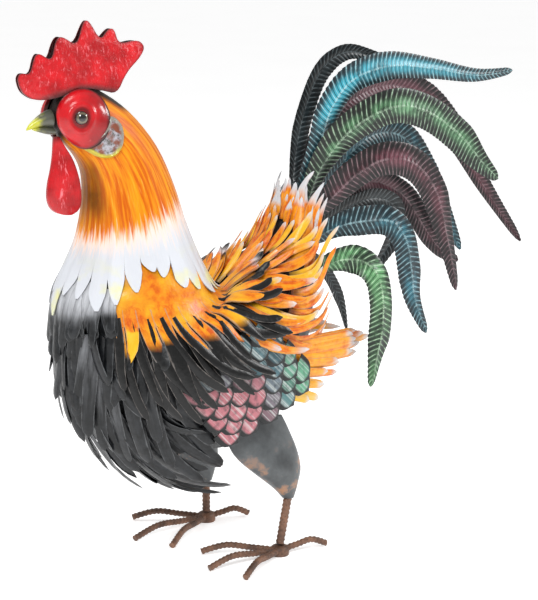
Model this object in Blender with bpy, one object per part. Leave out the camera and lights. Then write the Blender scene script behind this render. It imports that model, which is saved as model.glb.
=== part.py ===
# A metal rooster statue: thin painted sheet over a hollow body, on legs and toes of round bar.
# Metres, +Z up. The bird looks along -Y and its left side is +X.
# Its free form is drawn in shares of the statue's own height: 471 shares from the ground to
# the highest comb tip, so at the real height one share is one millimetre.

import math
import random

import bmesh
import bpy
from mathutils import Vector

STATUE_HEIGHT = 0.471
SHARE = STATUE_HEIGHT / 471
SHELL = 0.0015
SHEET = 0.0012
GAP = 0.0005
SHANK_BAR = 0.008
TOE_BAR = 0.0062
HUB_WIDTH = 0.017
HUB_HEIGHT = 0.0085
TOE_ARCH = 0.006
TAIL_SECTIONS = 13
EYE_SIZE = 0.0125
NECK_STRIPS = 20
BODY_COLUMNS = 20
STRIP_SEED = 7

# The master skin, from the beak root to past the tail root. Each row is the front or under
# point (forward, up), the back or top point (forward, up) and half the width, in shares.
SKIN = [
    ((186, 386), (187, 400), 9),
    ((180, 377), (181, 411), 16),
    ((171, 367), (164, 418), 21),
    ((163, 357), (146, 415), 25),
    ((158, 345), (118, 396), 28),
    ((157, 330), (93, 367), 31),
    ((159, 310), (77, 333), 36),
    ((165, 285), (65, 295), 44),
    ((173, 262), (54, 262), 51),
    ((179, 240), (43, 238), 57),
    ((176, 212), (28, 232), 61),
    ((169, 179), (12, 241), 64),
    ((153, 142), (0, 249), 66),
    ((120, 107), (-12, 257), 65),
    ((78, 89), (-24, 266), 62),
    ((36, 87), (-34, 276), 57),
    ((-5, 98), (-42, 288), 50),
    ((-38, 122), (-48, 302), 40),
    ((-62, 165), (-54, 318), 30),
    ((-84, 205), (-60, 335), 25),
    ((-100, 240), (-72, 348), 20),
]

PAINTS = {
    "orange": (0.80, 0.27, 0.02),
    "charcoal": (0.035, 0.035, 0.04),
    "red": (0.62, 0.01, 0.015),
    "beak": (0.42, 0.36, 0.10),
    "glass": (0.45, 0.20, 0.02),
    "pink": (0.45, 0.20, 0.20),
    "teal": (0.05, 0.25, 0.22),
    "cyan": (0.05, 0.30, 0.38),
    "green": (0.06, 0.20, 0.10),
    "maroon": (0.12, 0.05, 0.05),
    "slate": (0.05, 0.08, 0.09),
    "grey": (0.10, 0.11, 0.12),
    "rust": (0.16, 0.075, 0.04),
}


def at(forward, left, up):
    return Vector((left, -forward, up)) * SHARE


def mix(a, b, share):
    return a + (b - a) * share


def curve_value(p0, p1, p2, p3, x):
    bend = 2 * p0 - 5 * p1 + 4 * p2 - p3
    return p1 + 0.5 * x * (p2 - p0 + x * (bend + x * (3 * (p1 - p2) + p3 - p0)))


def along(rows, t):
    # A smooth value between the rows of numbers, at row number t.
    last = len(rows) - 1
    i = max(0, min(int(t), last - 1))
    picks = [rows[max(0, min(last, i + k))] for k in (-1, 0, 1, 2)]
    return [curve_value(*values, t - i) for values in zip(*picks)]


SKIN_NUMBERS = [front + back + (half,) for front, back, half in SKIN]


def skin_raw(t, turn):
    front_s, front_z, back_s, back_z, half = along(SKIN_NUMBERS, t)
    c = math.cos(math.radians(turn))
    s = math.sin(math.radians(turn))
    forward = mix(back_s, front_s, (1 + c) / 2)
    up = mix(back_z, front_z, (1 + c) / 2)
    return at(forward, half * s, up)


def skin_middle(t):
    front_s, front_z, back_s, back_z, _ = along(SKIN_NUMBERS, t)
    return at((front_s + back_s) / 2, 0, (front_z + back_z) / 2)


def skin(t, turn, lift=0.0):
    # turn 0 is the front or belly line, 90 the left side, 180 the back line.
    t = max(0.0, min(t, len(SKIN) - 1.001))
    here = skin_raw(t, turn)
    low = max(0.0, t - 0.05)
    high = min(len(SKIN) - 1.001, t + 0.05)
    run = skin_raw(high, turn) - skin_raw(low, turn)
    round_way = skin_raw(t, turn + 2) - skin_raw(t, turn - 2)
    return here + run.cross(round_way).normalized() * lift


def paint(name, colour, rough):
    material = bpy.data.materials.new(name + "_paint")
    material.use_nodes = True
    shader = material.node_tree.nodes["Principled BSDF"]
    shader.inputs["Base Color"].default_value = (*PAINTS[colour], 1.0)
    shader.inputs["Roughness"].default_value = rough
    material.diffuse_color = (*PAINTS[colour], 1.0)
    return material


def body(name, points, faces, colour, rough=0.4, smooth=50):
    # One closed piece with its origin at the middle of its own box.
    low = Vector([min(p[i] for p in points) for i in range(3)])
    high = Vector([max(p[i] for p in points) for i in range(3)])
    middle = (low + high) / 2
    mesh = bpy.data.meshes.new(name)
    mesh.from_pydata([p - middle for p in points], [], faces)
    work = bmesh.new()
    work.from_mesh(mesh)
    bmesh.ops.triangulate(work, faces=work.faces)
    bmesh.ops.recalc_face_normals(work, faces=work.faces)
    work.to_mesh(mesh)
    work.free()
    mesh.materials.append(paint(name, colour, rough))
    mesh.polygons.foreach_set("use_smooth", [True] * len(mesh.polygons))
    mesh.set_sharp_from_angle(angle=math.radians(smooth))
    piece = bpy.data.objects.new(name, mesh)
    piece.location = middle
    bpy.context.collection.objects.link(piece)
    return piece


def sheet(name, outer, inner, faces, colour, rough=0.4, smooth=50):
    # A thin sheet: the outer faces, the same faces inside, and a wall round every open edge.
    count = len(outer)
    edges = {}
    for face in faces:
        for a, b in zip(face, face[1:] + face[:1]):
            edges[(a, b)] = edges.get((a, b), 0) + 1
    solid = [tuple(face) for face in faces]
    solid += [tuple(i + count for i in reversed(face)) for face in faces]
    for a, b in edges:
        if (b, a) not in edges:
            solid.append((b, a, a + count, b + count))
    return body(name, outer + inner, solid, colour, rough, smooth)


def on_skin(t, turn, _, lift):
    return skin(t, turn, lift)


def fringe(name, lines, strips, colour, under=GAP, band=0.35, seed=0, tip=(0.86, 0.14),
           base=(on_skin, 1)):
    # A band of sheet laid on the skin and cut into pointed strips. Each line across the band
    # is (root row, root turn, tip row, tip turn, tip lift in shares). The band keeps whole for
    # its first share, and tip gives each strip's width half way down and at its end.
    pick = random.Random(STRIP_SEED + seed)
    ground, side = base
    points = []
    faces = []

    def place(u, v):
        root_t, root_turn, tip_t, tip_turn, lift = along(lines, u * (len(lines) - 1))
        t = mix(root_t, tip_t, v)
        turn = mix(root_turn, tip_turn, v)
        height = under + SHEET + lift * SHARE * v ** 1.3
        points.append((t, turn, height))
        return len(points) - 1

    roots = [place(i / strips, 0.0) for i in range(strips + 1)]
    splits = [place(i / strips, band) for i in range(strips + 1)]
    for i in range(strips):
        faces.append((roots[i], roots[i + 1], splits[i + 1], splits[i]))
        reach = 1.0 + 0.24 * (pick.random() - 0.5)
        lean = 0.3 * (pick.random() - 0.5)
        left, right = splits[i], splits[i + 1]
        for step, width in zip((0.55, 1.0), tip):
            v = band + (reach - band) * step
            u = (i + 0.5 + lean * step * step) / strips
            half = width / 2 / strips
            next_left = place(u - half, v)
            next_right = place(u + half, v)
            faces.append((left, right, next_right, next_left))
            left, right = next_left, next_right
    outer = [ground(x, y, side, height) for x, y, height in points]
    inner = [ground(x, y, side, height - SHEET) for x, y, height in points]
    return sheet(name, outer, inner, faces, colour)


def both(builder, *settings):
    builder("left", 1, *settings)
    builder("right", -1, *settings)


# Neck and head: one skin closed at the beak root and cut into strips at its hem.

def neck_and_head():
    rows = [0, 0.6, 1.4, 2.2, 3.1, 4, 4.9, 5.8, 6.7, 7.4, 8.1]
    pick = random.Random(STRIP_SEED)
    points = [(0, 0, 0)]
    faces = []
    rings = []
    for t in rows:
        lift = max(0.0, t - 6.8) * 2.6 * SHARE
        rings.append([])
        for i in range(NECK_STRIPS):
            rings[-1].append(len(points))
            points.append((t, 360 * i / NECK_STRIPS, lift))
    ring = rings[0]
    for i in range(NECK_STRIPS):
        faces.append((0, ring[i], ring[(i + 1) % NECK_STRIPS]))
    for a, b in zip(rings, rings[1:]):
        for i in range(NECK_STRIPS):
            j = (i + 1) % NECK_STRIPS
            faces.append((a[i], b[i], b[j], a[j]))
    for i in range(NECK_STRIPS):
        j = (i + 1) % NECK_STRIPS
        turn = 360 * (i + 0.5) / NECK_STRIPS
        reach = 1.15 + 0.4 * pick.random() - 0.15 * abs(math.sin(math.radians(turn)))
        left, right = rings[-1][i], rings[-1][j]
        for step, half, lift in ((0.5, 7.4, 6.0 * SHARE), (1.0, 1.6, 10.0 * SHARE)):
            t = rows[-1] + reach * step
            here = len(points)
            points += [(t, turn - half, lift), (t, turn + half, lift)]
            faces.append((left, here, here + 1, right))
            left, right = here, here + 1
    outer = [skin(*point) for point in points]
    inner = [skin(t, turn, lift - SHELL) for t, turn, lift in points]
    front = skin_middle(0) + at(1.5, 0, 0)
    outer[0] = front
    inner[0] = front - at(1, 0, 0).normalized() * SHELL
    sheet("neck_and_head", outer, inner, faces, "orange", 0.35, 60)


def body_drop(t, turn):
    # How far the hidden body lies under the master skin: deepest in the hollow of the back.
    hollow = max(0.0, -math.cos(math.radians(turn))) * max(0.0, 1 - abs(t - 9.7) / 2.2)
    return (1.8 + 4.5 * hollow) * SHARE


def section_normal(t):
    front_s, front_z, back_s, back_z, _ = along(SKIN_NUMBERS, t)
    return (at(back_s, 0, back_z) - at(front_s, 0, front_z)).cross(Vector((1, 0, 0))).normalized()


def body_skin():
    # The hidden body: open inside the neck, closed by a flat plate at the tail root.
    rows = [8.2, 9, 9.8, 10.7, 11.7, 12.8, 13.9, 15, 16.4, 18]
    columns = BODY_COLUMNS
    points = []
    faces = []
    for t in rows:
        for i in range(columns):
            points.append((t, 360 * i / columns))
    for r in range(len(rows) - 1):
        for i in range(columns):
            j = (i + 1) % columns
            a, b = r * columns, (r + 1) * columns
            faces.append((a + i, b + i, b + j, a + j))
    outer = [skin(t, turn, -body_drop(t, turn)) for t, turn in points]
    inner = [skin(t, turn, -body_drop(t, turn) - SHELL) for t, turn in points]
    plate = (len(rows) - 1) * columns
    backward = section_normal(18)
    middle = skin_middle(18)
    for i in range(plate, plate + columns):
        outer[i] = outer[i] - backward * (outer[i] - middle).dot(backward)
        inner[i] = inner[i] - backward * ((inner[i] - middle).dot(backward) + SHELL)
    outer.append(middle)
    inner.append(middle - backward * SHELL)
    for i in range(columns):
        j = (i + 1) % columns
        faces.append((plate + i, len(outer) - 1, plate + j))
    sheet("body_skin", outer, inner, faces, "charcoal", 0.5)


# Head furniture.

COMB = [
    (199, 409), (208, 411), (216, 417), (219, 427), (216, 432), (207, 430), (203, 444),
    (199, 447), (189, 440), (184, 456), (179, 460), (165, 451), (157, 471), (152, 471),
    (143, 454.5), (134, 464), (129, 463.5), (126, 451), (107, 454), (101, 448), (106, 440),
    (121, 428), (132, 411), (147, 415), (160, 417.5), (174, 415), (187, 411),
]


def comb(side_name, side):
    # Each side is one cut sheet; the two lean together and all but meet at the top and in front.
    def place(forward, up, extra):
        front = max(0.0, min(1.0, (forward - 190) / 26))
        lean = mix(mix(9.5, 2.6, front), 1.1, (up - 410) / 61)
        return at(forward, side * lean, up) + Vector((side * extra, 0, 0))
    outer = [place(forward, up, SHEET) for forward, up in COMB]
    inner = [place(forward, up, 0) for forward, up in COMB]
    sheet("comb_" + side_name, outer, inner, [tuple(range(len(COMB)))], "red", 0.25)


def dome(name, side, middle, reach, rings, columns, height, colour, rough):
    # A shallow dome of sheet that follows the head.
    mid_t, mid_turn = middle
    reach_t, reach_turn = reach
    spots = [(0.0, 0.0, height)]
    faces = []
    for ring in rings:
        for i in range(columns):
            angle = 2 * math.pi * i / columns
            lift = height * (1 - ring ** 2)
            spots.append((ring * math.cos(angle), ring * math.sin(angle), lift))
    for i in range(columns):
        faces.append((0, 1 + i, 1 + (i + 1) % columns))
    for r in range(len(rings) - 1):
        a, b = 1 + r * columns, 1 + (r + 1) * columns
        for i in range(columns):
            j = (i + 1) % columns
            faces.append((a + i, b + i, b + j, a + j))
    outer = []
    inner = []
    for x, y, lift in spots:
        t = mid_t + x * reach_t
        turn = side * (mid_turn + y * reach_turn)
        outer.append(skin(t, turn, GAP * 2 + SHEET + lift * SHARE))
        inner.append(skin(t, turn, GAP * 2 + lift * SHARE))
    sheet(name, outer, inner, faces, colour, rough)


def face(side_name, side):
    dome("face_" + side_name, side, (1.6, 94), (1.55, 56), (0.34, 0.7, 1.0), 16, 5, "red", 0.25)


def ear_lobe(side_name, side):
    dome("ear_lobe_" + side_name, side, (3.95, 72), (0.62, 42), (0.6, 1.0), 12, 2.5, "orange", 0.4)


def eye(side_name, side):
    columns = 10
    middle = skin(1.6, side * 94, GAP * 3 + SHEET + 5 * SHARE)
    outward = (skin(1.6, side * 94, 0.01) - skin(1.6, side * 94, 0)).normalized()
    across = outward.cross(Vector((0, 0, 1))).normalized()
    upward = across.cross(outward).normalized()
    reach = EYE_SIZE / 2
    points = []
    for width, height in ((1.0, 0.0), (0.9, 0.3), (0.5, 0.52)):
        for i in range(columns):
            angle = 2 * math.pi * i / columns
            ring = across * math.cos(angle) + upward * math.sin(angle)
            points.append(middle + ring * width * reach + outward * height * reach)
    points.append(middle + outward * 0.6 * reach)
    faces = [tuple(range(columns))]
    for i in range(columns):
        j = (i + 1) % columns
        for a, b in ((0, columns), (columns, 2 * columns)):
            faces.append((a + i, a + j, b + j, b + i))
        faces.append((2 * columns + i, 2 * columns + j, 3 * columns))
    body("eye_" + side_name, points, faces, "glass", 0.05)


def beak(name, rings):
    # Rings of (forward, middle up, half width, half height) closing on a blunt tip.
    sides = 8
    points = []
    faces = [tuple(range(sides))]
    for forward, up, half_width, half_height in rings:
        for i in range(sides):
            angle = 2 * math.pi * (i + 0.5) / sides
            points.append(at(forward, half_width * math.sin(angle), up - half_height * math.cos(angle)))
    for r in range(len(rings) - 1):
        for i in range(sides):
            j = (i + 1) % sides
            a, b = r * sides, (r + 1) * sides
            faces.append((a + i, a + j, b + j, b + i))
    last = (len(rings) - 1) * sides
    faces.append(tuple(range(last, last + sides)))
    body(name, points, faces, "beak", 0.35)


def wattle():
    # One sheet folded down the front, with a lobe hanging on each side.
    rows = [
        (378.5, 186.5, 182), (370, 187, 177.5), (360, 188, 171), (350, 190, 167.5),
        (340, 193, 165.5), (330, 194, 165), (321, 190.5, 167), (315, 183, 174),
    ]
    outer = []
    inner = []
    faces = []
    wall = SHEET / SHARE
    for up, front, rear in rows:
        spread = 2.5 + 5.0 * (382 - up) / 67
        outer += [at(rear, -spread, up), at(front, -2.4, up), at(front, 2.4, up), at(rear, spread, up)]
        inner += [at(rear, wall - spread, up), at(front - wall, wall - 2.4, up),
                  at(front - wall, 2.4 - wall, up), at(rear, spread - wall, up)]
    for r in range(len(rows) - 1):
        for k in range(3):
            a = r * 4 + k
            faces.append((a, a + 1, a + 5, a + 4))
    sheet("wattle", outer, inner, faces, "red", 0.25)


# Feather strips of the breast, shoulders, back and tail root, laid like shingles: the tips of
# each row stand over the roots of the next row towards the tail.

def breast_rows():
    fringe("breast_strips_1", [
        (8.45, -84, 9.8, -78, 2.5), (8.45, -46, 10.1, -42, 4.2), (8.45, 0, 10.4, 0, 9),
        (8.45, 46, 10.1, 42, 4.2), (8.45, 84, 9.8, 78, 2.5),
    ], 17, "charcoal", seed=1)
    fringe("breast_strips_2", [
        (9.5, -74, 11.3, -68, 6), (9.5, -38, 11.6, -34, 13), (9.5, 0, 11.8, 0, 18),
        (9.5, 38, 11.6, 34, 13), (9.5, 74, 11.3, 68, 6),
    ], 15, "charcoal", under=0.0003, seed=2)
    fringe("breast_strips_3", [
        (10.7, -70, 12.6, -64, 7), (10.7, -36, 13.0, -30, 17), (10.7, 0, 13.2, 0, 23),
        (10.7, 36, 13.0, 30, 17), (10.7, 70, 12.6, 64, 7),
    ], 15, "charcoal", seed=3)
    fringe("breast_strips_4", [
        (12.0, -62, 13.4, -56, 7), (12.0, -30, 14.2, -24, 20), (12.0, 0, 14.5, 0, 28),
        (12.0, 30, 14.2, 24, 20), (12.0, 62, 13.4, 56, 7),
    ], 13, "charcoal", seed=4)


def shoulder(side_name, side):
    fringe("shoulder_strips_" + side_name, [
        (8.9, side * 47, 11.4, side * 41, 16), (8.9, side * 82, 12.5, side * 76, 17),
        (8.9, side * 125, 13.2, side * 114, 14), (8.9, side * 178, 12.4, side * 166, 8),
    ], 10, "orange", under=0.0029, seed=5)


def saddle():
    fringe("saddle_strips_front", [
        (10.9, 116, 15.0, 105, 14), (10.6, 148, 15.3, 128, 11), (10.4, 180, 14.6, 180, 6),
        (10.6, 212, 15.3, 232, 11), (10.9, 244, 15.0, 255, 14),
    ], 14, "orange", under=0.0008, seed=6)
    fringe("saddle_strips_rear", [
        (13.7, 110, 18.4, 68, 13), (13.5, 142, 18.7, 104, 12), (13.3, 180, 16.8, 180, 5),
        (13.5, 218, 18.7, 256, 12), (13.7, 250, 18.4, 292, 13),
    ], 14, "orange", under=0.0003, seed=7)


def coverts():
    fringe("tail_coverts", [
        (16.2, 112, 19.0, 114, 5), (16.2, 146, 18.8, 142, 6), (16.0, 180, 17.9, 180, 4),
        (16.2, 214, 18.8, 218, 6), (16.2, 248, 19.0, 246, 5),
    ], 12, "orange", seed=8)


# Wings: three rows of rounded scales and a fan of long primaries on each side, laid on a
# shallow dome that stands off the flank. Here a line across a band is in forward and up.

def flank(forward, up, side, lift):
    left = 70 - 0.0012 * (up - 150) ** 2 - 0.0012 * (forward - 60) ** 2
    return at(forward, side * left, up) + Vector((side * lift, 0, 0))


def wing(side_name, side):
    round_tip = (0.9, 0.5)
    on_flank = (flank, side)
    fringe("wing_scales_upper_" + side_name, [
        (106, 162, 83, 133, 2.5), (70, 192, 46, 162, 2.5), (30, 216, 6, 192, 2.5),
    ], 5, "teal", under=0.0046, band=0.45, seed=9, tip=round_tip, base=on_flank)
    fringe("wing_scales_middle_" + side_name, [
        (95, 143, 68, 115, 2.5), (54, 176, 28, 145, 2.5), (14, 202, -12, 176, 2.5),
    ], 5, "teal", under=0.0023, band=0.45, seed=10, tip=round_tip, base=on_flank)
    fringe("wing_scales_lower_" + side_name, [
        (80, 125, 50, 102, 2.5), (38, 158, 8, 126, 2.5), (0, 188, -29, 156, 2.5),
    ], 5, "pink", under=0.0, band=0.45, seed=11, tip=round_tip, base=on_flank)


def primaries(side_name, side):
    fringe("wing_primaries_" + side_name, [
        (12, 150, -36, 130, -2), (8, 170, -74, 157, -2), (6, 184, -120, 174, -2),
        (4, 190, -98, 185, -2),
    ], 6, "orange", under=-0.0035, band=0.2, seed=12, base=(flank, side))


# Tail feathers: (height share and left offset on the tail plate, width, route, paint).

TAIL = {
    "tail_feather_far_crown": (0.95, -4, 18, "slate", [
        (-70, -12, 347), (-84, -18, 381), (-105, -22, 415), (-132, -22, 431), (-164, -22, 427),
        (-198, -22, 416)]),
    "tail_feather_crown": (0.95, 4, 25, "cyan", [
        (-74, 12, 354), (-84, 17, 388), (-107, 20, 412), (-150, 20, 421), (-200, 20, 416),
        (-255, 20, 407), (-302, 20, 409)]),
    "tail_feather_far_outer": (0.88, -11, 27, "maroon", [
        (-84, -16, 330), (-112, -22, 363), (-150, -28, 387), (-197, -36, 396), (-242, -36, 383),
        (-281, -36, 346), (-322, -36, 290), (-375, -36, 227)]),
    "tail_feather_outer": (0.88, 9, 29, "green", [
        (-76, 13, 335), (-98, 26, 367), (-138, 36, 386), (-179, 36, 379), (-219, 36, 355),
        (-248, 36, 328), (-272, 36, 309)]),
    "tail_feather_far_middle": (0.79, -8, 25, "teal", [
        (-104, -10, 314), (-133, -8, 342), (-166, -12, 355), (-200, -15, 348),
        (-227, -18, 318), (-253, -18, 274), (-276, -18, 232)]),
    "tail_feather_middle": (0.8, 13, 28, "maroon", [
        (-84, 17, 306), (-104, 26, 326), (-131, 34, 339), (-163, 38, 333), (-189, 38, 306),
        (-204, 38, 264), (-220, 38, 208)]),
    "tail_feather_far_inner": (0.72, -17, 23, "maroon", [
        (-108, -20, 297), (-149, -30, 307), (-190, -38, 303), (-224, -41, 286),
        (-248, -41, 256), (-270, -41, 230), (-294, -41, 215)]),
    "tail_feather_inner": (0.68, 17, 25, "teal", [
        (-92, 20, 280), (-115, 30, 284), (-133, 42, 283), (-147, 46, 267), (-154, 46, 241),
        (-160, 46, 208), (-177, 46, 174)]),
    "tail_feather_far_lower": (0.62, -19, 18, "slate", [
        (-100, -20, 272), (-135, -20, 286), (-170, -22, 292), (-196, -24, 282),
        (-199, -25, 258), (-184, -26, 234), (-166, -26, 216)]),
    "tail_feather_lower": (0.5, 21, 24, "green", [
        (-86, 26, 250), (-104, 36, 249), (-115, 46, 236), (-120, 48, 211), (-119, 48, 184),
        (-114, 48, 160), (-109, 48, 133)]),
    "tail_feather_far_short": (0.48, -23, 11, "slate", [
        (-84, -28, 248), (-108, -34, 238), (-130, -40, 218), (-145, -42, 192),
        (-153, -42, 163)]),
}


def tail_start(share, left, toward, half):
    # A spot just off the tail plate, clear of it by the blade's own tilt.
    front_s, front_z, back_s, back_z, _ = along(SKIN_NUMBERS, 18)
    point = at(mix(front_s, back_s, share), left, mix(front_z, back_z, share))
    run = (toward - point).normalized()
    tilt = abs(run.dot((at(back_s, 0, back_z) - at(front_s, 0, front_z)).normalized()))
    return point + section_normal(18) * (GAP * 2 + half * tilt)


def tail_feather(name, share, left, width, colour, route):
    # A creased blade: its flat side faces left, its crease stands out on that side.
    start = tail_start(share, left, at(*route[0]), width * SHARE * 0.25)
    path = [tuple(start)] + [tuple(at(*point)) for point in route]
    side = 1 if left > 0 else -1
    outer = []
    inner = []
    faces = []
    last = len(path) - 1
    for i in range(TAIL_SECTIONS):
        x = i / (TAIL_SECTIONS - 1)
        here = Vector(along(path, x * last))
        ahead = Vector(along(path, min(last, x * last + 0.05)))
        behind = Vector(along(path, max(0, x * last - 0.05)))
        run = (ahead - behind).normalized()
        across = run.cross(Vector((1, 0, 0))).normalized()
        outward = across.cross(run).normalized()
        if outward.x * side < 0:
            outward = -outward
        swell = min(1.0, 0.45 + 2.4 * x, 0.1 + 1.75 * (1 - x))
        half = width * SHARE * swell / 2
        crease = outward * half * 0.16
        for reach, rise in ((-half, Vector()), (0, crease), (half, Vector())):
            outer.append(here + across * reach + rise + outward * SHEET / 2)
            inner.append(here + across * reach + rise - outward * SHEET / 2)
    for i in range(TAIL_SECTIONS - 1):
        for k in range(2):
            a = i * 3 + k
            faces.append((a, a + 1, a + 4, a + 3))
    sheet(name, outer, inner, faces, colour, 0.35)


# Legs: sheet thighs open to the body, bar shanks, weld pads and arched bar toes.

LEGS = {
    "left": {
        "side": 1, "hub": (4, 62), "knee": (-8, 58, 50),
        "toes": {"inner": (61, 22), "middle": (79, 61), "outer": (66, 97), "back": (-42, 70)},
    },
    "right": {
        "side": -1, "hub": (6, -51), "knee": (6, -51, 40),
        "toes": {"outer": (62, -92), "middle": (91, -41), "inner": (74, -5), "back": (-33, -38)},
    },
}

# Rings of a thigh above its knee: forward, up, towards the body, half length, half breadth.
THIGH = [
    (0, 0, 0, 5.5, 5.5), (3.5, 12, 0, 13, 9), (12, 28, 0, 24, 12), (22, 44, 1, 31, 11),
    (29, 58, 2, 33, 8), (35, 76, 3, 30, 4),
]


def thigh(side_name, side, knee):
    columns = 10
    outer = []
    inner = []
    faces = [tuple(range(columns))]
    thin = SHEET / SHARE
    for forward, up, inward, half_long, half_broad in THIGH:
        for i in range(columns):
            angle = 2 * math.pi * i / columns
            c, s = math.cos(angle), math.sin(angle)
            left = knee[1] - side * inward
            lift = thin if up == 0 else 0
            outer.append(at(knee[0] + forward + c * half_long, left + s * half_broad,
                            knee[2] + up))
            inner.append(at(knee[0] + forward + c * (half_long - thin),
                            left + s * (half_broad - thin), knee[2] + up + lift))
    for r in range(len(THIGH) - 1):
        for i in range(columns):
            j = (i + 1) % columns
            a, b = r * columns, (r + 1) * columns
            faces.append((a + j, a + i, b + i, b + j))
    sheet("thigh_" + side_name, outer, inner, faces, "grey", 0.45, 60)


def bar(name, path, width):
    # An eight-sided bar through the points of the path, its lowest side level.
    sides = 8
    points = []
    faces = [tuple(range(sides))]
    for i, here in enumerate(path):
        ahead = path[min(i + 1, len(path) - 1)]
        behind = path[max(i - 1, 0)]
        run = (ahead - behind).normalized()
        side = run.cross(Vector((0, 0, 1)))
        side = side.normalized() if side.length > 0.2 else Vector((1, 0, 0))
        upward = side.cross(run).normalized()
        for k in range(sides):
            angle = 2 * math.pi * (k + 0.5) / sides
            reach = width / 2
            points.append(here + side * math.sin(angle) * reach - upward * math.cos(angle) * reach)
    for r in range(len(path) - 1):
        for i in range(sides):
            j = (i + 1) % sides
            a, b = r * sides, (r + 1) * sides
            faces.append((a + i, a + j, b + j, b + i))
    last = (len(path) - 1) * sides
    faces.append(tuple(range(last, last + sides)))
    return body(name, points, faces, "rust", 0.6)


def hub(name, spot):
    sides = 12
    points = []
    for up, width in ((0, 1.0), (HUB_HEIGHT * 0.7, 1.0), (HUB_HEIGHT, 0.72)):
        for i in range(sides):
            angle = 2 * math.pi * i / sides
            rim = Vector((math.sin(angle), math.cos(angle), 0)) * HUB_WIDTH / 2 * width
            points.append(at(*spot, 0) + rim + Vector((0, 0, up)))
    faces = [tuple(range(sides)), tuple(range(2 * sides, 3 * sides))]
    for r in range(2):
        for i in range(sides):
            j = (i + 1) % sides
            a, b = r * sides, (r + 1) * sides
            faces.append((a + i, a + j, b + j, b + i))
    return body(name, points, faces, "rust", 0.6)


def toe(spot, tip):
    root = at(*spot, 0)
    end = at(*tip, 0)
    rest = TOE_BAR / 2 * math.cos(math.pi / 8)
    start = root.lerp(end, 0.03) + Vector((0, 0, rest + TOE_ARCH * 0.14))
    middle = root.lerp(end, 0.36) + Vector((0, 0, rest + TOE_ARCH * 0.6))
    bend = root.lerp(end, 0.68) + Vector((0, 0, rest + TOE_ARCH))
    slope = math.atan2(TOE_ARCH, (end - root).length * 0.32)
    stop = end + Vector((0, 0, rest * math.cos(slope)))
    return bar("toe", [start, middle, bend, stop], TOE_BAR)


def foot(side_name, spot, tips):
    # The toe bars are welded into the pad, so a foot is one body.
    piece = hub("foot_" + side_name, spot)
    toes = [toe(spot, tip) for tip in tips]
    for bar_piece in toes:
        join = piece.modifiers.new("weld", "BOOLEAN")
        join.operation = "UNION"
        join.solver = "EXACT"
        join.object = bar_piece
    graph = bpy.context.evaluated_depsgraph_get()
    piece.data = bpy.data.meshes.new_from_object(piece.evaluated_get(graph))
    piece.modifiers.clear()
    for bar_piece in toes:
        bpy.data.objects.remove(bar_piece)


def leg(side_name, plan):
    hub_top = at(*plan["hub"], 0) + Vector((0, 0, HUB_HEIGHT + GAP))
    knee = at(*plan["knee"])
    way = (knee - hub_top).normalized()
    tilt = SHANK_BAR / 2 * math.hypot(way.x, way.y)
    path = [hub_top + way * tilt, knee - way * (tilt + GAP)]
    bar("shank_" + side_name, path, SHANK_BAR)
    foot(side_name, plan["hub"], plan["toes"].values())
    thigh(side_name, plan["side"], plan["knee"])


def stand_on_origin():
    bpy.context.view_layer.update()
    corners = [ob.matrix_world @ v.co for ob in bpy.data.objects for v in ob.data.vertices]
    low = Vector([min(c[i] for c in corners) for i in range(3)])
    high = Vector([max(c[i] for c in corners) for i in range(3)])
    foot = Vector(((low.x + high.x) / 2, (low.y + high.y) / 2, low.z))
    for piece in bpy.data.objects:
        piece.location -= foot


for old in list(bpy.data.objects):
    bpy.data.objects.remove(old)

neck_and_head()
body_skin()
both(comb)
both(face)
both(ear_lobe)
both(eye)
beak("beak_upper", [
    (189, 393.5, 7, 7), (195, 393.2, 5.4, 5.4), (203, 390.6, 3.3, 3.6), (211, 386.8, 0.9, 1),
])
beak("beak_lower", [(187.5, 383.2, 5.6, 3), (195, 383.6, 4.2, 2.5), (205, 384, 1.2, 1)])
wattle()
breast_rows()
both(shoulder)
saddle()
coverts()
both(wing)
both(primaries)
for feather_name, plan in TAIL.items():
    tail_feather(feather_name, *plan)
for side_name, plan in LEGS.items():
    leg(side_name, plan)
stand_on_origin()
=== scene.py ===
import math
import random

import bmesh
import bpy
from mathutils import Matrix, Vector, geometry, noise
from mathutils.bvhtree import BVHTree


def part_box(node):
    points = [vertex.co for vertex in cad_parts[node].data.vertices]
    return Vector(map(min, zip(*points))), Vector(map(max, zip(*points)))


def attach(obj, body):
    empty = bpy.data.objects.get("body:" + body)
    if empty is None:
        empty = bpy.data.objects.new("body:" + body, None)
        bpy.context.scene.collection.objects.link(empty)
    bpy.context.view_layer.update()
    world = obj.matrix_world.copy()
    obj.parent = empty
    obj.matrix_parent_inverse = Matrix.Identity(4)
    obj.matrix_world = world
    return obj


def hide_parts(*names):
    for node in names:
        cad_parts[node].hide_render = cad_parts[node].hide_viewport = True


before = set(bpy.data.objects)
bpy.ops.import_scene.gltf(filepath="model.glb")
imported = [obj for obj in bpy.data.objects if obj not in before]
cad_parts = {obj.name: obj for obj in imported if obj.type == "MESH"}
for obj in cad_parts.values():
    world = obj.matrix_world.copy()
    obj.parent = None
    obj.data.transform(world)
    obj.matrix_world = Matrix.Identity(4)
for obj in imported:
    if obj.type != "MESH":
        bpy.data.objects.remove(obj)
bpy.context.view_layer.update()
mm = 0.001
oneDegree = 0.01745
bothSides = (("Left", 1), ("Right", -1))
print("frame loaded:", len(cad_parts), "solids")

# The drawing's own zero, found from the comb's front edge and the two eyes.
eyeMiddle = (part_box("eye_right")[0][0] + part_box("eye_left")[1][0]) / 2
drawingZero = Vector((eyeMiddle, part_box("comb_left")[0][1] + 219 * mm, 0))


def hexToLinear(code):
    values = []
    for i in (0, 2, 4):
        part = int(code.lstrip("#")[i:i + 2], 16) / 255
        values.append(part / 12.92 if part <= 0.04045 else ((part + 0.055) / 1.055) ** 2.4)
    return (*values, 1.0)


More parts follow.
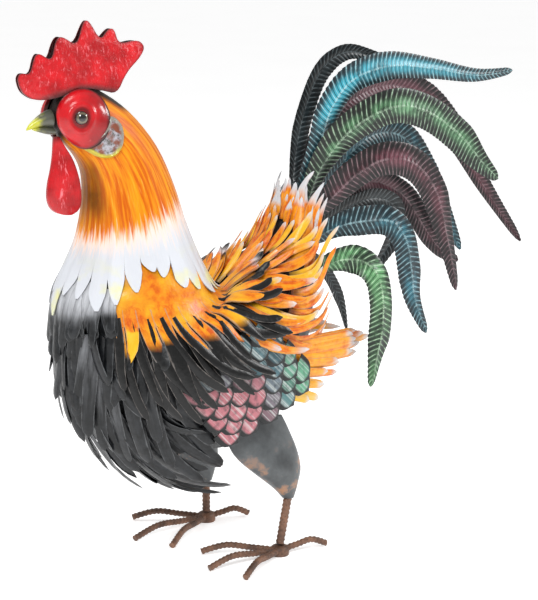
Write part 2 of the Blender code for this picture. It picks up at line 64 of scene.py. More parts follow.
def feed(tree, node, inputs):
    # an input takes a plain value, a socket, or a node, which stands for its first live output
    for key, value in inputs.items():
        if isinstance(value, bpy.types.Node):
            value = next(socket for socket in value.outputs if socket.enabled)
        if isinstance(value, bpy.types.NodeSocket):
            tree.links.new(value, node.inputs[key])
        else:
            node.inputs[key].default_value = value


def addNode(tree, kind, inputs=None, **settings):
    node = tree.nodes.new(kind)
    for key, value in settings.items():
        setattr(node, key, value)
    feed(tree, node, inputs or {})
    return node


def mix(a, b, share):
    return a + (b - a) * share


def smooth(low, high, value):
    share = max(0.0, min(1.0, (value - low) / (high - low)))
    return share * share * (3 - 2 * share)


def rowValue(rows, t):
    # smooth value between rows of numbers, at row number t
    last = len(rows) - 1
    i = max(0, min(int(t), last - 1))
    x = t - i
    values = []
    for p0, p1, p2, p3 in zip(*[rows[max(0, min(last, i + k))] for k in (-1, 0, 1, 2)]):
        bend = 2 * p0 - 5 * p1 + 4 * p2 - p3
        values.append(p1 + 0.5 * x * (p2 - p0 + x * (bend + x * (3 * (p1 - p2) + p3 - p0))))
    return values


def place(forward, left, up):
    return Vector((left, -forward, up)) * mm + drawingZero


# The skin all the feather strips lie on: front or belly line (forward, up), back line
# (forward, up) and half width in mm, from the beak root to behind the tail root.
skinRows = [
    (186, 386, 187, 400, 9), (180, 377, 181, 411, 16), (171, 367, 164, 418, 21),
    (163, 357, 146, 415, 25), (158, 345, 118, 396, 28), (157, 330, 93, 367, 31),
    (159, 310, 77, 333, 36), (165, 285, 65, 295, 44), (173, 262, 54, 262, 51),
    (179, 240, 43, 238, 57), (176, 212, 28, 232, 61), (169, 179, 12, 241, 64),
    (153, 142, 0, 249, 66), (120, 107, -12, 257, 65), (78, 89, -24, 266, 62),
    (36, 87, -34, 276, 57), (-5, 98, -42, 288, 50), (-38, 122, -48, 302, 40),
    (-62, 165, -54, 318, 30), (-84, 205, -60, 335, 25), (-100, 240, -72, 348, 20),
]


def skinBare(t, turn):
    frontS, frontZ, backS, backZ, half = rowValue(skinRows, t)
    share = (1 + math.cos(math.radians(turn))) / 2
    side = math.sin(math.radians(turn))
    return place(mix(backS, frontS, share), half * side, mix(backZ, frontZ, share))


def skinWay(t, turn):
    # outward direction of the skin
    t = max(0.06, min(t, len(skinRows) - 1.06))
    run = skinBare(t + 0.05, turn) - skinBare(t - 0.05, turn)
    around = skinBare(t, turn + 2) - skinBare(t, turn - 2)
    return run.cross(around).normalized()


def onSkin(t, turn, lift):
    t = max(0.0, min(t, len(skinRows) - 1.01))
    return skinBare(t, turn) + skinWay(t, turn) * lift * mm


# The shallow dome that carries a wing: its middle (forward, up), half width and fall.
flankPlan = {"middle": (60, 150), "half": 70, "fall": 0.0012}


def onFlank(forward, up, side, lift):
    middle, fall = flankPlan["middle"], flankPlan["fall"]
    left = flankPlan["half"] - fall * (up - middle[1]) ** 2 - fall * (forward - middle[0]) ** 2
    return place(forward, side * (left + lift), up)


def finishPiece(piece, material, nodes):
    if material.name not in [m.name for m in piece.data.materials if m]:
        piece.data.materials.clear()
        piece.data.materials.append(material)
    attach(piece, "root")
    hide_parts(*nodes)
    print("made", piece.name, len(piece.data.polygons), "faces")
    return piece


def meshPiece(name, points, faces, attributes, sharp=50):
    mesh = bpy.data.meshes.new(name)
    mesh.from_pydata(points, [], faces)
    for key, values in attributes.items():
        layer = mesh.attributes.new(key, "FLOAT", "POINT")
        layer.data.foreach_set("value", values)
    work = bmesh.new()
    work.from_mesh(mesh)
    bmesh.ops.recalc_face_normals(work, faces=work.faces)
    work.to_mesh(mesh)
    work.free()
    mesh.polygons.foreach_set("use_smooth", [True] * len(mesh.polygons))
    mesh.set_sharp_from_angle(angle=math.radians(sharp))
    piece = bpy.data.objects.new(name, mesh)
    bpy.context.collection.objects.link(piece)
    return piece


def discFaces(rings, columns):
    # a fan round point 0 and quads from ring to ring
    faces = [(0, 1 + c, 1 + (c + 1) % columns) for c in range(columns)]
    for r in range(rings - 1):
        for c in range(columns):
            a, b = 1 + r * columns + c, 1 + r * columns + (c + 1) % columns
            faces.append((a, a + columns, b + columns, b))
    return faces


def tubeFaces(rows, columns):
    # quads from ring to ring, closed at both ends
    faces = [tuple(range(columns))]
    for r in range(rows - 1):
        for c in range(columns):
            a, b = r * columns + c, r * columns + (c + 1) % columns
            faces.append((a, b, b + columns, a + columns))
    return faces + [tuple(range((rows - 1) * columns, rows * columns))]


def closedSheet(outer, inner, faces, attributes):
    # outer faces, the same faces inside, and a wall round every open edge
    count = len(outer)
    edges = {}
    for face in faces:
        for a, b in zip(face, face[1:] + face[:1]):
            edges[(a, b)] = True
    solid = [tuple(face) for face in faces]
    solid += [tuple(i + count for i in reversed(face)) for face in faces]
    for a, b in edges:
        if (b, a) not in edges:
            solid.append((b, a, a + count, b + count))
    doubled = {key: list(values) * 2 for key, values in attributes.items()}
    doubled["inside"] = [0.0] * count + [1.0] * count
    return outer + inner, solid, doubled


def joinPieces(name, pieces):
    # several meshes of one body made into one object, materials kept
    keep = pieces[0]
    with bpy.context.temp_override(active_object=keep, selected_editable_objects=pieces):
        bpy.ops.object.join()
    keep.name = name
    keep.data.name = name
    return keep


# Materials. Each paint is enamel brushed over hammered steel sheet.

def newMaterial(name, shaderValues, marks=()):
    # gives back the place on the piece too, and the marks that are stored on its points
    material = bpy.data.materials.new(name)
    material.use_nodes = True
    tree = material.node_tree
    shader = tree.nodes["Principled BSDF"]
    feed(tree, shader, shaderValues)
    spot = addNode(tree, "ShaderNodeTexCoord").outputs["Object"]
    stored = [addNode(tree, "ShaderNodeAttribute", attribute_name=mark).outputs["Fac"]
              for mark in marks]
    return material, tree, shader, spot, stored


def coverSurface(tree, shader, colour, grain, rough, relief=None):
    # colour, a roughness that follows the grain, and relief as (height, strength, depth)
    gloss = addNode(tree, "ShaderNodeMapRange", {
        "Value": grain, "To Min": rough[0], "To Max": rough[1]})
    feed(tree, shader, {"Base Color": colour, "Roughness": gloss})
    if relief:
        height, strength, depth = relief
        bump = addNode(tree, "ShaderNodeBump", {
            "Height": height, "Strength": strength, "Distance": depth})
        feed(tree, shader, {"Normal": bump})


softGloss = {"IOR": 1.5, "Coat Weight": 0.15, "Coat Roughness": 0.2, "Specular IOR Level": 0.3}

# Brushed enamel on the cut strips: two paint tones in long streaks, a pale wash where the airbrush
# went, a dark wash that is airbrushed smoke on some strips and painted shade at the roots of
# others, and grey rims that are worn edges with a painted highlight. Streaks are set by strip, so
# about 1 mm wide.
stripPaints = {
    "charcoalEnamel": {
        "toneA": "#090A0B", "toneB": "#25272A", "accent": "#181A1C", "pale": "#C9CBD0",
        "dark": "#060607", "rim": "#707274", "wornGlintWeight": 0.5, "rough": (0.24, 0.45),
        "streaks": (1.3, 1.8), "toneShift": (0.36, 0.68),
    },
    "orangeEnamel": {
        "toneA": "#C85305", "toneB": "#EC9312", "accent": "#EFC022", "pale": "#C6C8CC",
        "dark": "#0C0C0C", "rim": "#8C8580", "wornGlintWeight": 0.55, "rough": (0.24, 0.45),
        "streaks": (1.8, 2.6), "toneShift": (0.34, 0.66),
    },
}


def stripPaint(name):
    recipe = stripPaints[name]
    material, tree, shader, spot, stored = newMaterial(
        name, softGloss, ("across", "along", "tone", "pale", "dark", "hue"))
    across, along, tone, pale, dark, hue = stored
    wide = addNode(tree, "ShaderNodeMath", {
        0: across, 1: recipe["streaks"][0]}, operation="MULTIPLY")
    long = addNode(tree, "ShaderNodeMath", {
        0: along, 1: recipe["streaks"][1]}, operation="MULTIPLY")
    deep = addNode(tree, "ShaderNodeMath", {0: tone, 1: 37.0}, operation="MULTIPLY")
    flow = addNode(tree, "ShaderNodeCombineXYZ", {"X": wide, "Y": long, "Z": deep})
    streak = addNode(tree, "ShaderNodeTexNoise", {
        "Vector": flow, "Scale": 1.0, "Detail": 4.0, "Roughness": 0.6})
    mottle = addNode(tree, "ShaderNodeTexNoise", {
        "Vector": spot, "Scale": 130.0, "Detail": 5.0, "Roughness": 0.6})
    grainy = addNode(tree, "ShaderNodeMath", {
        0: mottle, 1: 0.9, 2: -0.45}, operation="MULTIPLY_ADD")
    worked = addNode(tree, "ShaderNodeMath", {0: streak, 1: grainy}, operation="ADD")
    shift = addNode(tree, "ShaderNodeMapRange", {
        "Value": worked, "From Min": recipe["toneShift"][0], "From Max": recipe["toneShift"][1]})
    base = addNode(tree, "ShaderNodeMix", {
        0: shift, 6: hexToLinear(recipe["toneA"]), 7: hexToLinear(recipe["toneB"])},
        data_type="RGBA")
    accent = addNode(tree, "ShaderNodeMix", {
        0: hue, 6: base, 7: hexToLinear(recipe["accent"])}, data_type="RGBA")
    paleEdge = addNode(tree, "ShaderNodeMath", {
        0: streak, 1: 1.1, 2: -0.55}, operation="MULTIPLY_ADD")
    paleSum = addNode(tree, "ShaderNodeMath", {
        0: pale, 1: paleEdge}, operation="ADD", use_clamp=True)
    palest = addNode(tree, "ShaderNodeMath", {
        0: pale, 1: 2.5}, operation="MULTIPLY", use_clamp=True)
    paleGate = addNode(tree, "ShaderNodeMath", {
        0: paleSum, 1: palest}, operation="MULTIPLY", use_clamp=True)
    washed = addNode(tree, "ShaderNodeMix", {
        0: paleGate, 6: accent, 7: hexToLinear(recipe["pale"])}, data_type="RGBA")
    # dark wash: airbrushed smoke on some strips, painted shade at the roots of others
    darkEdge = addNode(tree, "ShaderNodeMath", {
        0: mottle, 1: 0.5, 2: -0.25}, operation="MULTIPLY_ADD")
    darkSum = addNode(tree, "ShaderNodeMath", {
        0: dark, 1: 1.35, 2: darkEdge}, operation="MULTIPLY_ADD")
    darkest = addNode(tree, "ShaderNodeMath", {
        0: dark, 1: 2.5}, operation="MULTIPLY", use_clamp=True)
    darkGate = addNode(tree, "ShaderNodeMath", {
        0: darkSum, 1: darkest}, operation="MULTIPLY", use_clamp=True)
    smokedAndShaded = addNode(tree, "ShaderNodeMix", {
        0: darkGate, 6: washed, 7: hexToLinear(recipe["dark"])}, data_type="RGBA")
    # grey rims: worn edges with a painted edge highlight
    size = addNode(tree, "ShaderNodeMath", {0: across}, operation="ABSOLUTE")
    wornGlintEdge = addNode(tree, "ShaderNodeMath", {
        0: mottle, 1: 0.5, 2: size}, operation="MULTIPLY_ADD")
    rim = addNode(tree, "ShaderNodeMapRange", {
        "Value": wornGlintEdge, "From Min": 1.06, "From Max": 1.22})
    wornGlintWeight = addNode(tree, "ShaderNodeMath", {
        0: rim, 1: recipe["wornGlintWeight"]}, operation="MULTIPLY", use_clamp=True)
    painted = addNode(tree, "ShaderNodeMix", {
        0: wornGlintWeight, 6: smokedAndShaded, 7: hexToLinear(recipe["rim"])}, data_type="RGBA")
    # hammer marks about 4 mm across
    hammer = addNode(tree, "ShaderNodeTexNoise", {"Vector": spot, "Scale": 240.0, "Detail": 2.0})
    coverSurface(tree, shader, painted, mottle, recipe["rough"], (hammer, 0.8, 0.0006))
    return material


# Geometry Nodes: the steps that the trees share.

def newTree(name, inputs, result):
    tree = bpy.data.node_groups.new(name, "GeometryNodeTree")
    for title, kind in inputs.items():
        tree.interface.new_socket(title, in_out="INPUT", socket_type="NodeSocket" + kind)
    tree.interface.new_socket(result, in_out="OUTPUT", socket_type="NodeSocketGeometry")
    return tree, addNode(tree, "NodeGroupInput").outputs


def creasedProfile(tree, start):
    # a flat ring raised along its middle, whose points know where they lie across the strip
    ring = addNode(tree, "GeometryNodeCurvePrimitiveCircle", {
        "Resolution": start["Profile Points"], "Radius": 1.0})
    spot = addNode(tree, "GeometryNodeInputPosition")
    parts = addNode(tree, "ShaderNodeSeparateXYZ", {0: spot}).outputs
    marked = addNode(tree, "GeometryNodeStoreNamedAttribute", {
        "Geometry": ring, "Name": "across", "Value": parts["Y"]})
    thin = addNode(tree, "ShaderNodeMath", {
        0: parts["X"], 1: start["Flatness"]}, operation="MULTIPLY")
    size = addNode(tree, "ShaderNodeMath", {0: parts["Y"]}, operation="ABSOLUTE")
    inner = addNode(tree, "ShaderNodeMath", {0: 1.0, 1: size}, operation="SUBTRACT")
    crease = addNode(tree, "ShaderNodeMath", {0: inner, 1: start["Crease"]}, operation="MULTIPLY")
    rise = addNode(tree, "ShaderNodeMath", {0: thin, 1: crease}, operation="ADD")
    shape = addNode(tree, "ShaderNodeCombineXYZ", {"X": rise, "Y": parts["Y"]})
    return addNode(tree, "GeometryNodeSetPosition", {"Geometry": marked, "Position": shape})


def sweepProfile(tree, guides, profile, reach):
    outward = addNode(tree, "GeometryNodeInputNamedAttribute", {
        "Name": "outward"}, data_type="FLOAT_VECTOR")
    turned = addNode(tree, "GeometryNodeSetCurveNormal", {
        "Curve": guides, "Normal": outward}, mode="FREE")
    return addNode(tree, "GeometryNodeCurveToMesh", {
        "Curve": turned, "Profile Curve": profile, "Scale": reach, "Fill Caps": True})


def closeTree(tree, shape, paint):
    # each tree ends in real meshes with their paint on
    real = addNode(tree, "GeometryNodeRealizeInstances", {"Geometry": shape})
    painted = addNode(tree, "GeometryNodeSetMaterial", {"Geometry": real, "Material": paint})
    addNode(tree, "NodeGroupOutput", {0: painted})
    return tree


# One tree sweeps a creased leaf along every guide edge.
stripInputs = {"Samples": 17, "Profile Points": 10, "Flatness": 0.12, "Crease": 0.17,
               "Round From": 0.86}


def stripTree():
    tree, start = newTree("featherStrips", {
        "Guides": "Geometry", "Samples": "Int", "Profile Points": "Int", "Flatness": "Float",
        "Crease": "Float", "Round From": "Float", "Paint": "Material"}, "Strips")
    curve = addNode(tree, "GeometryNodeMeshToCurve", {"Mesh": start["Guides"]})
    evened = addNode(tree, "GeometryNodeResampleCurve", {"Curve": curve, "Count": start["Samples"]})
    factor = addNode(tree, "GeometryNodeSplineParameter").outputs["Factor"]
    kept = addNode(tree, "GeometryNodeStoreNamedAttribute", {
        "Geometry": evened, "Name": "along", "Value": factor})
    # rounded end: the width follows a quarter circle over the last share
    past = addNode(tree, "ShaderNodeMapRange", {
        "Value": factor, "From Min": start["Round From"], "From Max": 1.0})
    square = addNode(tree, "ShaderNodeMath", {0: past, 1: 2.0}, operation="POWER")
    left = addNode(tree, "ShaderNodeMath", {0: 1.02, 1: square}, operation="SUBTRACT")
    circle = addNode(tree, "ShaderNodeMath", {0: left}, operation="SQRT")
    width = addNode(tree, "GeometryNodeInputNamedAttribute", {"Name": "halfWidth"})
    reach = addNode(tree, "ShaderNodeMath", {0: width, 1: circle}, operation="MULTIPLY")
    swept = sweepProfile(tree, kept, creasedProfile(tree, start), reach)
    shaded = addNode(tree, "GeometryNodeSetShadeSmooth", {"Geometry": swept})
    return closeTree(tree, shaded, start["Paint"])


def guideObject(name, strips):
    # strips: lists of points, each a dictionary of spot, directions, sizes and paint values
    mesh = bpy.data.meshes.new(name + "Guide")
    points = [point for strip in strips for point in strip]
    edges = []
    start = 0
    for strip in strips:
        edges += [(start + i, start + i + 1) for i in range(len(strip) - 1)]
        start += len(strip)
    mesh.from_pydata([point["spot"] for point in points], edges, [])
    for key in points[0]:
        if key == "spot":
            continue
        if key in ("outward", "turn"):
            layer = mesh.attributes.new(key, "FLOAT_VECTOR", "POINT")
            layer.data.foreach_set("vector", [x for point in points for x in point[key]])
        else:
            layer = mesh.attributes.new(key, "FLOAT", "POINT")
            layer.data.foreach_set("value", [point[key] for point in points])
    guide = bpy.data.objects.new(name + "Guide", mesh)
    bpy.context.collection.objects.link(guide)
    return guide


def growPiece(name, guide, tree, values):
    grower = guide.modifiers.new("grow", "NODES")
    grower.node_group = tree
    for item in tree.interface.items_tree:
        if item.item_type == "SOCKET" and item.in_out == "INPUT" and item.name in values:
            grower[item.identifier] = values[item.name]
    graph = bpy.context.evaluated_depsgraph_get()
    mesh = bpy.data.meshes.new_from_object(guide.evaluated_get(graph))
    guide.modifiers.remove(grower)
    mesh.name = name
    mesh.set_sharp_from_angle(angle=math.radians(42))
    piece = bpy.data.objects.new(name, mesh)
    bpy.context.collection.objects.link(piece)
    bpy.data.objects.remove(guide)
    for key in ("outward", "halfWidth"):
        if key in mesh.attributes:
            mesh.attributes.remove(mesh.attributes[key])
    return piece


def bandStrips(surface, lines, plan, colour):
    # Strips over one band of the skin. Each line across the band is root row, root turn, tip
    # row, tip turn and how far the tips stand off; u runs across the band and v down it.
    pick = random.Random(plan["seed"])
    strips = []

    def spotAt(u, v, lift):
        rootT, rootTurn, tipT, tipTurn, flare = rowValue(lines, u * (len(lines) - 1))
        height = plan["under"] + 1.2 + flare * max(0.0, v) ** 1.3 + lift - 8 * max(0.0, -v)
        return surface(mix(rootT, tipT, v), mix(rootTurn, tipTurn, v), height)

    for number, (fromV, toV, drop, count) in enumerate(plan["layers"]):
        for i in range(count):
            u = (i + 0.5 + 0.35 * (pick.random() - 0.5) + 0.25 * (number % 2)) / count
            reach = toV + plan["spread"] * (pick.random() - 0.5)
            lean = plan["lean"] * (pick.random() - 0.5) / count
            curl = plan["curl"] * pick.random()
            twist = math.radians(plan["twist"]) * (pick.random() - 0.5) * 2
            wide = plan["halfWidth"] * (0.82 + 0.36 * pick.random())
            tone = pick.random()
            luck = pick.random()
            strip = []
            for k in range(8):
                x = k / 7
                v = mix(fromV, reach, x)
                uu = min(1.0, max(0.0, u + lean * x * x))
                here = spotAt(uu, v, drop + curl * x * x)
                away = (spotAt(uu, v, drop + curl * x * x + 1) - here).normalized()
                ahead = spotAt(uu, v + 0.02, drop) - spotAt(uu, v - 0.02, drop)
                sideways = away.cross(ahead.normalized())
                away = (away * math.cos(twist) + sideways * math.sin(twist)).normalized()
                swell = mix(0.72, 1.0, smooth(0, 0.35, x))
                swell *= mix(1.0, plan["tip"], smooth(0.4, 1.0, x))
                strip.append({"spot": here, "outward": away, "halfWidth": wide * swell * mm,
                              "tone": tone, **colour(uu, v, x, luck, number)})
            strips.append(strip)
    return strips


growStrips = stripTree()


def stripPiece(name, strips, paint):
    return growPiece(name, guideObject(name, strips), growStrips, dict(stripInputs, Paint=paint))


charcoalEnamel = stripPaint("charcoalEnamel")
orangeEnamel = stripPaint("orangeEnamel")
print("paints and strip tree ready")


# Breast: four bands of charcoal strips, whitish where they leave the neck's hem.
breastBands = {
    "breastStrips1": {
        "node": "breast_strips_1", "seed": 11, "under": 0.5, "halfWidth": 5.2, "spread": 0.34,
        "lean": 1.8, "curl": 6.5, "twist": 26, "tip": 0.85,
        "layers": [(-0.2, 0.8, 0.8, 11), (-0.1, 0.95, 0.3, 12), (0.2, 1.1, -0.4, 12)],
        "lines": [(8.45, -48, 9.8, -46, 2.5), (8.45, -27, 10.1, -25, 4.2), (8.45, 0, 10.4, 0, 9),
                  (8.45, 27, 10.1, 25, 4.2), (8.45, 48, 9.8, 46, 2.5)]},
    "breastStrips2": {
        "node": "breast_strips_2", "seed": 12, "under": 0.3, "halfWidth": 5.8, "spread": 0.36,
        "lean": 2.2, "curl": 9.0, "twist": 32, "tip": 0.85,
        "layers": [(0.0, 0.76, 1.0, 11), (0.15, 0.92, 0.2, 12), (0.3, 1.1, -0.8, 13)],
        "lines": [(9.5, -74, 11.3, -68, 6), (9.5, -38, 11.6, -34, 13), (9.5, 0, 11.8, 0, 18),
                  (9.5, 38, 11.6, 34, 13), (9.5, 74, 11.3, 68, 6)]},
    "breastStrips3": {
        "node": "breast_strips_3", "seed": 13, "under": 0.5, "halfWidth": 6.0, "spread": 0.38,
        "lean": 2.4, "curl": 7.5, "twist": 32, "tip": 0.85,
        "layers": [(0.0, 0.76, 1.0, 11), (0.15, 0.92, 0.2, 12), (0.3, 1.12, -0.8, 12)],
        "lines": [(10.7, -70, 12.6, -64, 7), (10.7, -36, 13.0, -30, 17), (10.7, 0, 13.2, 0, 23),
                  (10.7, 36, 13.0, 30, 17), (10.7, 70, 12.6, 64, 7)]},
    "breastStrips4": {
        "node": "breast_strips_4", "seed": 14, "under": 0.5, "halfWidth": 6.0, "spread": 0.4,
        "lean": 2.4, "curl": 8.0, "twist": 32, "tip": 0.85,
        "layers": [(0.0, 0.74, 1.0, 10), (0.15, 0.9, 0.2, 11), (0.3, 1.12, -0.8, 11)],
        "lines": [(12.0, -62, 13.4, -56, 7), (12.0, -30, 14.2, -24, 20), (12.0, 0, 14.5, 0, 28),
                  (12.0, 30, 14.2, 24, 20), (12.0, 62, 13.4, 56, 7)]},
}


def breastColour(first):
    def colour(u, v, x, luck, layer):
        pale = (0.55 + 0.35 * luck) * smooth(0.7, 0.2, v) if first else 0.0
        pale = max(pale, 0.28 * luck * smooth(0.9, 0.2, x) if luck > 0.7 else 0.0)
        # painted shade at the roots of the lower bands, where they come out from under the band
        # above
        return {"pale": pale, "dark": 0.25 * smooth(0.3, 0.0, x) if not first else 0.0,
                "hue": 0.5 * luck}
    return colour


for pieceName, plan in breastBands.items():
    strips = bandStrips(onSkin, plan["lines"], plan, breastColour(pieceName == "breastStrips1"))
    finishPiece(stripPiece(pieceName, strips, charcoalEnamel), charcoalEnamel, [plan["node"]])


# Cut sheets: one skin whole at the top and slit into strips below, as on the neck's hem.

def cutSheet(surface, plan, strip):
    total = plan["strips"] * plan["columns"]
    ring = total if plan["closed"] else total + 1
    spots = []
    faces = []
    for r, v in enumerate(plan["rows"]):
        for c in range(ring):
            spots.append((c / total, v, 0.0, 2 * (c % plan["columns"]) / plan["columns"] - 1, 0.0))
        if r:
            for c in range(total):
                a, b = (r - 1) * ring + c, (r - 1) * ring + (c + 1) % ring
                faces.append((a, a + ring, b + ring, b))
    lastRow = (len(plan["rows"]) - 1) * ring
    rootV = plan["rows"][-1]
    for i in range(plan["strips"]):
        facts = strip(i)
        previous = [lastRow + (i * plan["columns"] + c) % ring for c in range(plan["columns"] + 1)]
        for r in range(1, plan["tipRows"] + 1):
            x = r / plan["tipRows"]
            wide = min(1.0, (1.02 - x) / facts["point"]) ** 0.6 * (1 - facts["slim"] * x)
            current = []
            for c in range(plan["columns"] + 1):
                a = 2 * c / plan["columns"] - 1
                u = (i + 0.5 + a * wide / 2 + facts["lean"] * x * x) / plan["strips"]
                v = mix(rootV, facts["reach"], x - 0.10 * (1 - x) * a * a)
                lift = facts["lift"] * smooth(0, 0.6, x)
                lift -= facts["curve"] * a * a * smooth(0, 0.7, x)
                current.append(len(spots))
                spots.append((u, v, lift, a, x))
            for c in range(plan["columns"]):
                faces.append((previous[c], current[c], current[c + 1], previous[c + 1]))
            previous = current
    outer = [surface(u, v, lift) for u, v, lift, a, x in spots]
    inner = [surface(u, v, lift - plan["wall"]) for u, v, lift, a, x in spots]
    attributes = {"around": [s[0] for s in spots], "down": [s[1] for s in spots],
                  "across": [s[3] for s in spots], "along": [s[4] for s in spots]}
    return outer, inner, faces, attributes


# Neck and head in one skin: orange paint drawn down in streaks over white, brown at the throat.
neckPlan = {
    "strips": 26, "columns": 6, "closed": True, "wall": 1.2, "tipRows": 12,
    "rows": [0.0, 0.12, 0.28, 0.5] + [0.75 + 0.25 * i for i in range(26)] + [7.25],
    "fluteDepth": 0.55, "hemLift": 2.6, "seed": 31,
}


def neckPoint(u, v, lift):
    turn = 360 * u
    flute = 0.0
    if v > 2.5:
        angle = turn * oneDegree
        wave = noise.noise(Vector((math.cos(angle) * 9, math.sin(angle) * 9, v * 0.25)))
        wave += 0.5 * math.sin(math.radians(turn * neckPlan["strips"]))
        flute = neckPlan["fluteDepth"] * wave * smooth(2.5, 7.0, v)
    # the hem stands off from row 6.8 and flares faster past row 8.1
    hem = max(0.0, v - 6.8) * neckPlan["hemLift"] if v < 8.1 else 3.4 + (v - 8.1) * 4.4
    return onSkin(v, turn, hem + flute + lift)


def neckStrip(i):
    pick = random.Random(neckPlan["seed"] + i)
    turn = 360 * (i + 0.5) / neckPlan["strips"]
    aside = abs((turn if turn < 180 else 360 - turn) - 84)
    reach = 8.7 + 0.7 * pick.random() - 1.25 * math.exp(-(aside / 27) ** 2)
    return {"reach": reach, "lean": 0.5 * (pick.random() - 0.5), "lift": 0.2 + 0.9 * pick.random(),
            "point": 0.22 + 0.35 * pick.random(), "slim": 0.0, "curve": 0.2}


outer, inner, faces, neckFlow = cutSheet(neckPoint, neckPlan, neckStrip)
noseTip = place(188.5, 0, 393)
outer.append(noseTip)
inner.append(noseTip + Vector((0, 1.4 * mm, 0)))
for key in neckFlow:
    neckFlow[key].append(0.0)
ringSize = neckPlan["strips"] * neckPlan["columns"]
faces += [(len(outer) - 1, c, (c + 1) % ringSize) for c in range(ringSize)]
neckFlow["ringX"] = [math.cos(2 * math.pi * u) for u in neckFlow["around"]]
neckFlow["ringY"] = [math.sin(2 * math.pi * u) for u in neckFlow["around"]]
headTree = BVHTree.FromPolygons(outer, faces)
neckPoints, neckFaces, neckFlow = closedSheet(outer, inner, faces, neckFlow)


